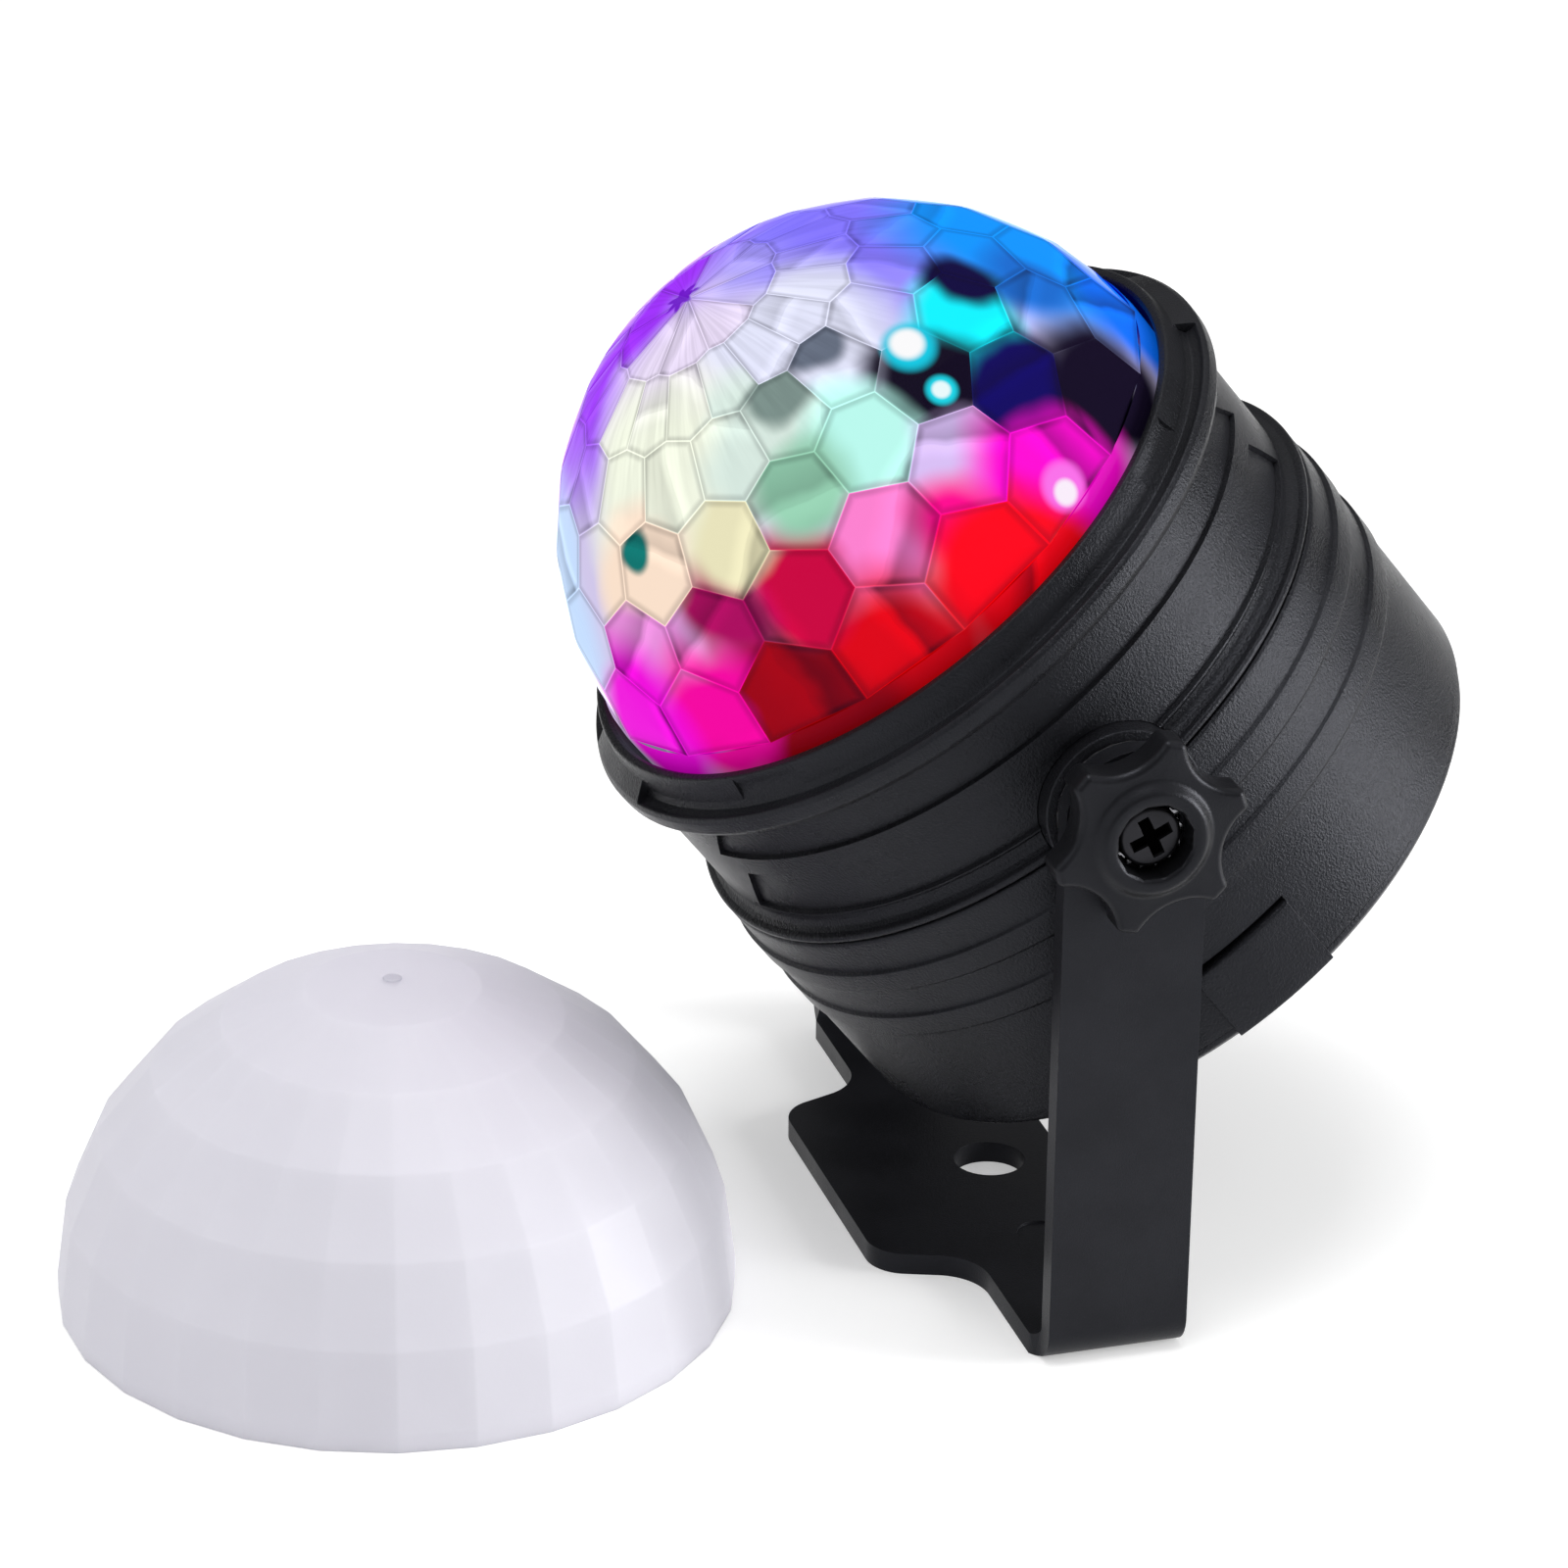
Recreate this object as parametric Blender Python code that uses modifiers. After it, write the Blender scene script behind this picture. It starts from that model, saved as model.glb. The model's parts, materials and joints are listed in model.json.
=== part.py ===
"""LED disco ball light: a drum-shaped lamp head with a turning crystal dome, held in a U-shaped
bracket between two star knobs, and its white diffuser dome standing beside it.

Lengths are in metres and +Z is up. The head leans forward to -Y and tilts about X.
The head's pieces are modelled about its pivot, with local +Z along the barrel to the dome.
A height in the head is a distance along the barrel, forward of the pivot.
"""

from math import acos, ceil, cos, pi, radians, sin, tau

import bmesh
import bpy
from mathutils import Matrix, Vector

# Clearances
GAP = 0.0003
LOOSE_GAP = 0.0005
OVERRUN = 0.002
MERGE = 0.00001

# Facets round a circle
BARREL_STEPS = 36
ROUND_STEPS = 24
SMALL_STEPS = 12
TINY_STEPS = 8
ARC_STEPS = 6
SCALLOP_STEPS = 5
DOME_ROWS = 8

# Stance of the head
PIVOT_HEIGHT = 0.0709
HEAD_TILT = radians(38.4)

# Barrel radii, from the bore outward
BORE_R = 0.0407
HOUSING_WALL = 0.00225
NECK_R = BORE_R + HOUSING_WALL
SHOULDER = 0.00195
DRUM_R = NECK_R + SHOULDER
DRUM_WALL = 0.0022
DRUM_INNER_R = DRUM_R - DRUM_WALL
RIB_RISE = 0.0005
RIB_SLOPE = 0.0003
RIB_R = DRUM_R + RIB_RISE
TAIL_RISE = 0.0001

# Side bosses that take the pivots
BOSS_R = 0.0095
BOSS_INSET = 0.0003
BOSS_FACE = DRUM_R - BOSS_INSET
SPOTFACE_MARGIN = 0.0004

# Threaded inserts in the bosses
INSERT_R = 0.003
INSERT_LENGTH = 0.0078
INSERT_OUTER = BOSS_FACE - GAP
INSERT_INNER = INSERT_OUTER - INSERT_LENGTH
BOSS_BACK = 0.0005
BOSS_INNER = INSERT_INNER - BOSS_BACK

# Bracket
ARM_CLEARANCE = 0.0006
ARM_THICKNESS = 0.0028
ARM_INNER = RIB_R + ARM_CLEARANCE
ARM_OUTER = ARM_INNER + ARM_THICKNESS
ARM_WIDTH = 0.0175
ARM_TOP_R = 0.009
BEND_R = 0.0045
BASE_HALF_DEPTH = 0.0097
WING_FRONT = 0.0216
WING_HALF_WIDTH = 0.0165
WING_CORNER_R = 0.0053
WING_FILLET_R = 0.0068
WING_LEAN = radians(20)
NECK_START = 0.0443
NECK_END = 0.0459
BASE_HOLE_R = 0.0045
MARK_R = 0.003
MARK_DEPTH = 0.0003
MARK_X = 0.0205
PIVOT_Y = (WING_FRONT - BASE_HALF_DEPTH) / 2

# Pivot screws, washers and star knobs, measured out from the middle along X
SCREW_SHANK_R = 0.00195
PIVOT_HOLE_R = SCREW_SHANK_R + GAP
SCREW_HEAD_R = 0.004
SCREW_HEAD_H = 0.0025
SCREW_EDGE = 0.0006
SCREW_END = INSERT_INNER + LOOSE_GAP
CROSS_LENGTH = 0.0054
CROSS_WIDTH = 0.0016
CROSS_DEPTH = 0.0015
WASHER_R = 0.0086
KNOB_BACK = ARM_OUTER + GAP
KNOB_HUB_R = 0.007
KNOB_HUB_H = 0.0005
KNOB_PLATE = KNOB_BACK + KNOB_HUB_H
KNOB_THICKNESS = 0.0044
KNOB_EDGE = 0.0006
KNOB_TIP_R = 0.012
KNOB_SCALLOP_R = 0.0072
KNOB_VALLEY_R = 0.0091
KNOB_POINTS = 6
KNOB_TURN = radians(48)
KNOB_RING_R = 0.006
KNOB_RING_H = 0.0012
KNOB_FACE = KNOB_PLATE + KNOB_THICKNESS + KNOB_RING_H
KNOB_RECESS_R = 0.0045
KNOB_RECESS_DEPTH = 0.0036
KNOB_FLOOR = KNOB_FACE - KNOB_RECESS_DEPTH
SCREW_HEAD_SEAT = KNOB_FLOOR + GAP
SCREW_HEAD_TOP = SCREW_HEAD_SEAT + SCREW_HEAD_H

# Rear drum, from its front edge down
DRUM_TOP = 0.0003
FRONT_BAND_H = 0.0052
RIB_H = 0.0031
REAR_BAND_H = 0.0048
TAIL_H = 0.0171
DRUM_LENGTH = FRONT_BAND_H + RIB_H + REAR_BAND_H + RIB_H + TAIL_H
DRUM_BOTTOM = DRUM_TOP - DRUM_LENGTH
SHELF_DROP = 0.0066
SHELF_THICKNESS = 0.002
SHELF_TOP = DRUM_TOP - SHELF_DROP
SHELF_BOTTOM = SHELF_TOP - SHELF_THICKNESS

# Front housing, from the seam with the drum up
HOUSING_SEAT = DRUM_TOP + GAP
FLARE_H = 0.0029
LIP_H = 0.0003
REAR_WINDOW_H = 0.0071
NECK_RIB_H = 0.0029
FRONT_WINDOW_H = 0.0059
LAND_H = 0.0003
FLANGE_H = 0.0035
COLLAR_H = 0.0037
FLARE_TOP = HOUSING_SEAT + FLARE_H
REAR_WINDOW_BOTTOM = FLARE_TOP + LIP_H
REAR_WINDOW_TOP = REAR_WINDOW_BOTTOM + REAR_WINDOW_H
FRONT_WINDOW_BOTTOM = REAR_WINDOW_TOP + NECK_RIB_H
FRONT_WINDOW_TOP = FRONT_WINDOW_BOTTOM + FRONT_WINDOW_H
FLANGE_BOTTOM = FRONT_WINDOW_TOP + LAND_H
FLANGE_TOP = FLANGE_BOTTOM + FLANGE_H
COLLAR_TOP = FLANGE_TOP + COLLAR_H
WINDOW_DEPTH = 0.00065
WINDOW_R = NECK_R - WINDOW_DEPTH
FLANGE_RISE = 0.00235
COLLAR_FOOT_WALL = 0.0021
COLLAR_FOOT_H = 0.0006
COLLAR_TOP_WALL = 0.0014
COLLAR_LIP = 0.0004
SPIGOT_CLEAR = 0.0008
SPIGOT_R = DRUM_INNER_R - GAP
SPIGOT_BOTTOM = SHELF_TOP + SPIGOT_CLEAR

# Outline of the flange, as shares of its rise over the neck and of its height, from the top
FLANGE_SHARES = ((0.11, 0.94), (0.57, 0.94), (0.83, 1), (1, 0.83), (1, 0.34), (0.7, 0.06), (0, 0))

# Outline of the flare, as shares of the shoulder and of the flare's height, from the top
FLARE_SHARES = ((0, 1), (-0.18, 0.92), (-0.1, 0.62), (0.14, 0.36), (0.5, 0.18), (1, 0.1), (1, 0))

# Half widths of the smooth spines between the side windows, as shares of the neck's radius
SPINE_REAR_SHARES = (0.29, 0.405)
SPINE_FRONT_SHARES = (0.342, 0.454)

# Pockets in the collar's side and the pads that fill its groove
POCKET_DEPTH = 0.0005
POCKET_MARGIN = 0.0004
POCKET_WIDTH = 0.0092
POCKET_TURNS = tuple(radians(turn) for turn in (43.8, 136.2, 224.5, 315.5))
PAD_HALF_WIDTH = 0.009
PAD_BURY = 0.0006
PAD_LIFT = 0.0003
PAD_TURNS = (pi / 2, 3 * pi / 2)

# Floor of the front housing, in front of the boss notches
FLOOR_MARGIN = 0.0015
FLOOR_THICKNESS = 0.002
FLOOR_BOTTOM = BOSS_R + GAP + FLOOR_MARGIN
FLOOR_TOP = FLOOR_BOTTOM + FLOOR_THICKNESS

# Crystal dome
DOME_PLAY = 0.0007
DOME_R = BORE_R - DOME_PLAY
DOME_WALL = 0.0024
DOME_INNER_R = DOME_R - DOME_WALL
DOME_SINK = 0.0022
DOME_CENTRE = COLLAR_TOP - DOME_SINK
DOME_SKIRT_TAPER = 0.0002
FACET_INSET = 0.0006
FACET_PLANE_R = DOME_R - FACET_INSET
FACETS_ROUND = 18
FACET_TURN = radians(9)
FACET_ROWS = tuple(radians(row) for row in (77, 63.5, 50, 36.5, 23))
APEX_ROW = radians(10)
EDGE_ROW = radians(90.5)
BAND_ANGLE = radians(84)

# Gears: the dome's ring gear turns on the motor's pinion
GEAR_THICKNESS = 0.003
GEAR_BOTTOM = FLOOR_TOP + GAP
GEAR_TOP = GEAR_BOTTOM + GEAR_THICKNESS
DOME_BOTTOM = GEAR_TOP + GAP
GEAR_EDGE = 0.0005
GEAR_R = DOME_R - GEAR_EDGE
GEAR_SPIGOT_R = DOME_INNER_R - GAP
GEAR_SPIGOT_WALL = 0.001
GEAR_SPIGOT_H = 0.003
GEAR_RIM = 0.0033
RING_TEETH = 66
PINION_TEETH = 10
RING_PITCH_R = GEAR_SPIGOT_R - GEAR_SPIGOT_WALL - GEAR_RIM
MODULE = 2 * RING_PITCH_R / RING_TEETH
PINION_PITCH_R = MODULE * PINION_TEETH / 2
PINION_OFFSET = RING_PITCH_R - PINION_PITCH_R
TOOTH_TIP_SHARE = 0.8
TOOTH_ROOT_SHARE = 1.2
TIP_WIDTH_SHARE = 0.3
ROOT_WIDTH_SHARE = 0.75
PINION_INSET = 0.0002

# Hooks that hold the ring gear down
HOOK_CLEAR = 0.0009
HOOK_THICKNESS = 0.002
HOOK_WIDTH = 0.007
HOOK_REACH = 0.0027
HOOK_NOSE_H = 0.0015
HOOK_BURY = 0.0015
HOOK_OUTER = RING_PITCH_R - TOOTH_TIP_SHARE * MODULE - HOOK_CLEAR
TRIPLE = tuple(radians(turn) for turn in (90, 210, 330))

# Drive motor in its cup
MOTOR_R = 0.0065
MOTOR_SHELF_CLEAR = 0.0008
MOTOR_TOP = FLOOR_BOTTOM - GAP
MOTOR_BOTTOM = SHELF_TOP + MOTOR_SHELF_CLEAR
MOTOR_NOSE_R = 0.003
MOTOR_NOSE_H = 0.0018
MOTOR_BORE_DEPTH = 0.0088
CUP_WALL = 0.0014
CUP_R = MOTOR_R + GAP + CUP_WALL
CUP_DEPTH = 0.0083
SHAFT_R = 0.001
SHAFT_BORE_R = SHAFT_R + GAP

# Posts that join the front housing to the drum's shelf
POST_R = 0.0032
POST_INSET = 0.0013
POST_RING_R = BORE_R - POST_R - POST_INSET
POST_HOLE_DEPTH = 0.011
SHELF_MARGIN = 0.001
SHELF_R = POST_RING_R - POST_R - SHELF_MARGIN

# LED board, its heat sink and its lamps
HEAT_SINK_R = PINION_OFFSET - CUP_R - GAP
BOARD_THICKNESS = 0.0016
LED_BOARD_TOP = FLOOR_BOTTOM - GAP
LED_BOARD_BOTTOM = LED_BOARD_TOP - BOARD_THICKNESS
HEAT_SINK_TOP = LED_BOARD_BOTTOM - GAP
HEAT_SINK_H = 0.0111
HEAT_SINK_BOTTOM = HEAT_SINK_TOP - HEAT_SINK_H
HEAT_SINK_BASE = 0.003
FIN_PITCH = 0.0049
FIN_SLOT = 0.0024
FIN_SIDE_SLOTS = 3
LEAD_NOTCH_WIDTH = 0.0044
LEAD_NOTCH_DEPTH = 0.0035
LED_RING_R = 0.007
LED_BASE_R = 0.0028
LED_BASE_H = 0.0012
LED_LENS_R = 0.0024
LED_LENS_H = 0.0024
LED_SCREW_INSET = 0.0027
LED_SCREW_X = HEAT_SINK_R - LED_SCREW_INSET
FLOOR_OPENING_MARGIN = 0.0028
FLOOR_OPENING_R = LED_SCREW_X - FLOOR_OPENING_MARGIN

# Small screws: shank, head and how far each goes in
FINE_SHANK_R = 0.0011
FINE_HOLE_R = FINE_SHANK_R + GAP
FINE_HEAD_R = 0.0022
FINE_HEAD_H = 0.0016
DRIVE_R = 0.0009
DRIVE_DEPTH = 0.0009
LED_SCREW_LENGTH = 0.0095
HOUSING_SCREW_LENGTH = 0.0118
BOARD_SCREW_LENGTH = 0.0078
COVER_SCREW_LENGTH = 0.0112
HOLE_END = 0.001

# Rear cover, from its seat on the drum down
COVER_SEAT = DRUM_BOTTOM - GAP
COVER_DEPTH = 0.0043
COVER_INSET = 0.0004
COVER_R = DRUM_R - COVER_INSET
COVER_WALL = 0.0022
COVER_SPIGOT_H = 0.0028
COVER_SPIGOT_WALL = 0.0017
COVER_SPIGOT_R = DRUM_INNER_R - GAP
COVER_BOSS_R = 0.0028
COVER_BOSS_INSET = 0.0002
COVER_SCREW_RING_R = COVER_SPIGOT_R - COVER_BOSS_R - COVER_BOSS_INSET
COUNTERBORE_R = 0.0026
COUNTERBORE_FLOOR = COVER_SEAT - 2 * GAP
DRUM_POST_R = 0.0034
DRUM_POST_H = 0.0122
DRUM_POST_BOTTOM = COVER_SEAT + COVER_SPIGOT_H + GAP
QUAD = tuple(radians(turn) for turn in (45, 135, 225, 315))

# Outline of the cover's outer face, as shares of its radius and depth, from its seat
COVER_SHARES = ((1, 0), (1, 0.21), (0.975, 0.44), (0.917, 0.63), (0.45, 0.95), (0, 1))

# Side tabs of the cover, which clip over the drum
TAB_THICKNESS = 0.0017
TAB_LIFT = 0.0003
TAB_PROUD = 0.0002
TAB_OUTER_R = RIB_R + TAB_PROUD
TAB_INNER_R = TAB_OUTER_R - TAB_THICKNESS
TAB_HALF_WIDTH = 0.0072
TAB_RISE = 0.0094
TAB_ROOT_H = 0.0011
TAB_ROOT_INSET = 0.0035
TAB_ROOT_R = COVER_R - TAB_ROOT_INSET
TAB_SLOT = 0.0013
TAB_TOP = COVER_SEAT + TAB_RISE

# Openings in the cover
VENTS = 12
VENT_INNER_R = 0.014
VENT_LENGTH = 0.012
VENT_WIDTH = 0.002
MIC_HOLE_R = 0.0008

# Power inlet
SOCKET_INSET = 0.0125
SOCKET_Y = SOCKET_INSET - COVER_R
SOCKET_HALF_WIDTH = 0.0045
SOCKET_HALF_DEPTH = 0.0055
SOCKET_H = 0.011
SOCKET_LIFT = 0.0002
SOCKET_NOSE_R = 0.004
SOCKET_BORE_R = 0.0028
SOCKET_BORE_DEPTH = 0.0095
SOCKET_PIN_R = 0.0008

# Control board on two posts of the cover
BOARD_LIFT = 0.0093
BOARD_BOTTOM = COVER_SEAT + BOARD_LIFT
BOARD_TOP = BOARD_BOTTOM + BOARD_THICKNESS
BOARD_HALF_WIDTH = 0.025
BOARD_HALF_DEPTH = 0.018
BOARD_Y = 0.006
BOARD_POST_R = 0.0025
BOARD_POST_X = 0.02
BOARD_POST_TOP = BOARD_BOTTOM - GAP

# Parts on the control board
CHIP_HALF_WIDTH = 0.005
CHIP_H = 0.0016
CHIP_PLACE = (-0.008, 0.008)
CAPACITOR_R = 0.004
CAPACITOR_H = 0.009
CAPACITOR_PLACE = (0.009, 0.014)
CONNECTOR_HALF_WIDTH = 0.0055
CONNECTOR_HALF_DEPTH = 0.0025
CONNECTOR_H = 0.0055
CONNECTOR_Y = -0.008
MIC_R = 0.003
MIC_H = 0.004
MIC_RING_R = 0.02
MIC_TURN = radians(45)

# Inner leads: each route in the head, from piece to piece
LEAD_R = 0.0008
LEAD_SPAN_STEPS = 2
LED_LEAD_ROUTE = (
    (0, 0.018, 0.0091), (0, 0.018, 0.004), (0, 0.018, -0.002), (-0.0002, 0.0165, -0.0085),
    (-0.001, 0.011, -0.0125), (-0.0024, 0.003, -0.0135), (-0.0032, -0.004, -0.0128),
    (-0.0033, -0.0075, -0.0138), (-0.0033, -0.008, -0.0163),
)
MOTOR_LEAD_ROUTE = (
    (0, -0.028, -0.0058), (0, -0.028, -0.0085), (0, -0.0262, -0.0118), (0, -0.0205, -0.0138),
    (0, -0.013, -0.0131), (0, -0.0088, -0.0136), (0, -0.008, -0.0163),
)
POWER_LEAD_ROUTE = (
    (0, -0.032, -0.0224), (0, -0.032, -0.0195), (0.0004, -0.03, -0.0172), (0.0016, -0.0235, -0.0158),
    (0.0029, -0.0145, -0.0135), (0.0033, -0.0088, -0.0136), (0.0033, -0.008, -0.0163),
)

# Diffuser dome, standing by itself
DIFFUSER_R = 0.0416
DIFFUSER_H = 0.0416
DIFFUSER_SKIRT = 0.0024
DIFFUSER_WALL = 0.00115
DIFFUSER_SIDES = 28
DIFFUSER_ROWS = 6
DIFFUSER_X = 0.0068
DIFFUSER_Y = -0.0729

# Looks: colour, roughness, metallic
BLACK_PLASTIC = ((0.016, 0.016, 0.018), 0.48, 0)
DARK_METAL = ((0.02, 0.02, 0.022), 0.38, 0.6)
STEEL = ((0.55, 0.55, 0.56), 0.3, 1)
BRASS = ((0.7, 0.5, 0.2), 0.3, 1)
ALUMINIUM = ((0.6, 0.61, 0.63), 0.4, 1)
NYLON = ((0.78, 0.77, 0.72), 0.5, 0)
WHITE_PLASTIC = ((0.86, 0.86, 0.85), 0.4, 0)
CRYSTAL = ((0.8, 0.82, 0.9), 0.08, 0)
BOARD_GREEN = ((0.02, 0.16, 0.07), 0.45, 0)
BOARD_WHITE = ((0.8, 0.8, 0.78), 0.4, 0)
CHIP_BLACK = ((0.02, 0.02, 0.02), 0.5, 0)
LEAD_RED = ((0.5, 0.03, 0.03), 0.45, 0)
LED_RED = ((0.8, 0.1, 0.08), 0.15, 0)
LED_GREEN = ((0.1, 0.7, 0.2), 0.15, 0)
LED_BLUE = ((0.1, 0.2, 0.85), 0.15, 0)
LED_WHITE = ((0.9, 0.88, 0.7), 0.15, 0)


def start():
    """Empty the scene and make the collections for the parts and for what cuts them."""
    for old in list(bpy.data.objects):
        bpy.data.objects.remove(old, do_unlink=True)
    groups = []
    for name in ("led_disco_ball_light", "cutters"):
        group = bpy.data.collections.new(name)
        bpy.context.scene.collection.children.link(group)
        groups.append(group)
    return groups


parts, cutters = start()


def link(name, data, group):
    """A new object in a collection."""
    obj = bpy.data.objects.new(name, data)
    group.objects.link(obj)
    return obj


def filled(name, form):
    """A new part from a finished bmesh."""
    mesh = bpy.data.meshes.new(name)
    form.to_mesh(mesh)
    form.free()
    return link(name, mesh, parts)


def polar(radius, turn):
    """The point at a radius and an angle."""
    return (radius * cos(turn), radius * sin(turn))


def arc(centre, radius, first, last, steps=ARC_STEPS):
    """Points along an arc, both ends included."""
    turns = [first + (last - first) * step / steps for step in range(steps + 1)]
    return [(centre[0] + radius * cos(turn), centre[1] + radius * sin(turn)) for turn in turns]


def turned(name, *outlines, steps=BARREL_STEPS):
    """Outlines of (radius, height), down the outer side, turned about Z."""
    form = bmesh.new()
    for outline in outlines:
        points = [form.verts.new((radius, 0, height)) for radius, height in outline]
        for near, far in zip(points, points[1:]):
            form.edges.new((near, far))
        if outline[0][0] > 0:
            form.edges.new((points[-1], points[0]))
    obj = filled(name, form)
    screw = obj.modifiers.new("turn", "SCREW")
    screw.steps = steps
    screw.render_steps = steps
    screw.use_merge_vertices = True
    screw.merge_threshold = MERGE
    screw.use_smooth_shade = True
    return obj


def settled(obj):
    """The same object with its modifiers made into its mesh."""
    bpy.context.view_layer.update()
    graph = bpy.context.evaluated_depsgraph_get()
    mesh = bpy.data.meshes.new_from_object(obj.evaluated_get(graph))
    obj.modifiers.clear()
    obj.data = mesh
    return obj


def prism(name, outlines, thickness, place=Matrix()):
    """A flat outline and any holes in it, thickened about z = 0 and then laid in its place."""
    curve = bpy.data.curves.new(name, "CURVE")
    curve.dimensions = "2D"
    curve.fill_mode = "BOTH"
    curve.extrude = thickness / 2
    for outline in outlines:
        spline = curve.splines.new("POLY")
        spline.points.add(len(outline) - 1)
        for point, (x, y) in zip(spline.points, outline):
            point.co = (x, y, 0, 1)
        spline.use_cyclic_u = True
    sketch = link(name + "_sketch", curve, cutters)
    bpy.context.view_layer.update()
    graph = bpy.context.evaluated_depsgraph_get()
    mesh = bpy.data.meshes.new_from_object(sketch.evaluated_get(graph))
    form = bmesh.new()
    form.from_mesh(mesh)
    bmesh.ops.remove_doubles(form, verts=form.verts, dist=MERGE)
    bmesh.ops.transform(form, matrix=place, verts=form.verts)
    form.to_mesh(mesh)
    form.free()
    solid = link(name, mesh, parts)
    solid.matrix_world = sketch.matrix_world
    bpy.data.objects.remove(sketch)
    return solid


def cylinders(name, radius, low, high, places=((0, 0),), steps=SMALL_STEPS):
    """Upright cylinders between two heights."""
    form = bmesh.new()
    for x, y in places:
        place = Matrix.Translation((x, y, (low + high) / 2))
        bmesh.ops.create_cone(form, cap_ends=True, segments=steps, radius1=radius,
                              radius2=radius, depth=high - low, matrix=place)
    return filled(name, form)


def side_cylinders(name, radius, near, far, centre=(0, 0), steps=ROUND_STEPS):
    """A pair of cylinders along X, from near to far on each side."""
    form = bmesh.new()
    for side in (1, -1):
        place = Matrix.Translation((side * (near + far) / 2, *centre)) @ Matrix.Rotation(pi / 2, 4, "Y")
        bmesh.ops.create_cone(form, cap_ends=True, segments=steps, radius1=radius,
                              radius2=radius, depth=far - near, matrix=place)
    return filled(name, form)


def blocks(name, low, high, turns=(0,)):
    """A box between two corners, once for each turn about Z."""
    size = Vector(high) - Vector(low)
    middle = (Vector(high) + Vector(low)) / 2
    form = bmesh.new()
    for turn in turns:
        place = Matrix.Rotation(turn, 4, "Z") @ Matrix.Translation(middle) @ Matrix.Diagonal((*size, 1))
        bmesh.ops.create_cube(form, size=1, matrix=place)
    return filled(name, form)


def combine(obj, tool, operation):
    """Work one object with another, which rides on it and stays hidden."""
    parts.objects.unlink(tool)
    cutters.objects.link(tool)
    tool.name = obj.name + "_" + tool.name
    tool.parent = obj
    tool.hide_render = True
    tool.display_type = "WIRE"
    work = obj.modifiers.new(tool.name, "BOOLEAN")
    work.operation = operation
    work.solver = "EXACT"
    work.object = tool
    return obj


def cut(obj, tool):
    """Take the tool's space out of the object."""
    return combine(obj, tool, "DIFFERENCE")


def join(obj, tool):
    """Add the tool's space to the object."""
    return combine(obj, tool, "UNION")


def keep_inside(obj, tool):
    """Keep only what lies inside the tool."""
    return combine(obj, tool, "INTERSECT")


def finish(obj, look, carrier=None):
    """Give a part its own material and what carries it."""
    colour, roughness, metallic = look
    material = bpy.data.materials.new(obj.name)
    material.use_nodes = True
    shader = material.node_tree.nodes["Principled BSDF"]
    shader.inputs["Base Color"].default_value = (*colour, 1)
    shader.inputs["Roughness"].default_value = roughness
    shader.inputs["Metallic"].default_value = metallic
    obj.data.materials.clear()
    obj.data.materials.append(material)
    obj.parent = carrier
    return obj


def copies(name, obj, look, carrier, places, turn=0):
    """Numbered copies of a piece at (x, y) places, and the first one is the piece itself."""
    for number, (x, y) in enumerate(places, 1):
        copy = obj if number == 1 else link(name, obj.data.copy(), parts)
        copy.name = f"{name}_{number}"
        copy.location = (x, y, 0)
        copy.rotation_euler = (0, 0, turn)
        finish(copy, look, carrier)


def make_head():
    """The empty at the pivot that carries the lamp head."""
    head = link("head", None, parts)
    head.location = (0, PIVOT_Y, PIVOT_HEIGHT)
    head.rotation_euler = (HEAD_TILT, 0, 0)
    return head


def bracket_side_outline():
    """The U seen from the front, with its bends."""
    inner_bend = BEND_R - ARM_THICKNESS
    top = PIVOT_HEIGHT + ARM_TOP_R + OVERRUN
    across = ARM_OUTER - BEND_R
    right = [(ARM_INNER, top)]
    right += arc((across, BEND_R), inner_bend, 0, -pi / 2)
    left = [(-x, y) for x, y in reversed(right)]
    outer_left = [(-ARM_OUTER, top)] + arc((-across, BEND_R), BEND_R, pi, 3 * pi / 2)
    outer_right = [(-x, y) for x, y in reversed(outer_left)]
    return right + left + outer_left + outer_right


def bracket_plan_outline():
    """The base plate seen from above, about its hole: wing in front, straight edge behind."""
    corner_y = -WING_FRONT + WING_CORNER_R
    fillet_y = -BASE_HALF_DEPTH - WING_FILLET_R
    corner_end = polar(WING_CORNER_R, -WING_LEAN)
    run = (fillet_y + WING_FILLET_R * sin(WING_LEAN) - corner_y - corner_end[1]) / cos(WING_LEAN)
    fillet_x = WING_HALF_WIDTH + corner_end[0] + run * sin(WING_LEAN) + WING_FILLET_R * cos(WING_LEAN)
    right = arc((WING_HALF_WIDTH, corner_y), WING_CORNER_R, -pi / 2, -WING_LEAN)
    right += arc((fillet_x, fillet_y), WING_FILLET_R, pi - WING_LEAN, pi / 2)
    right += [(NECK_START, -BASE_HALF_DEPTH), (NECK_END, -ARM_WIDTH / 2)]
    right += [(ARM_OUTER + OVERRUN, -ARM_WIDTH / 2), (ARM_OUTER + OVERRUN, ARM_WIDTH / 2)]
    right += [(NECK_END, ARM_WIDTH / 2), (NECK_START, BASE_HALF_DEPTH)]
    left = [(-x, y) for x, y in reversed(right)]
    return right + left


def bracket_arch_outline():
    """The bracket seen from its side: arms with round tops over a wide foot."""
    reach = WING_FRONT + OVERRUN
    round_top = arc((0, PIVOT_HEIGHT), ARM_TOP_R, 0, pi, steps=2 * ARC_STEPS)
    step = 2 * BEND_R
    foot = [(-ARM_TOP_R, step), (-reach, step), (-reach, -OVERRUN)]
    return round_top + foot + [(reach, -OVERRUN), (reach, step), (ARM_TOP_R, step)]


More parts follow.
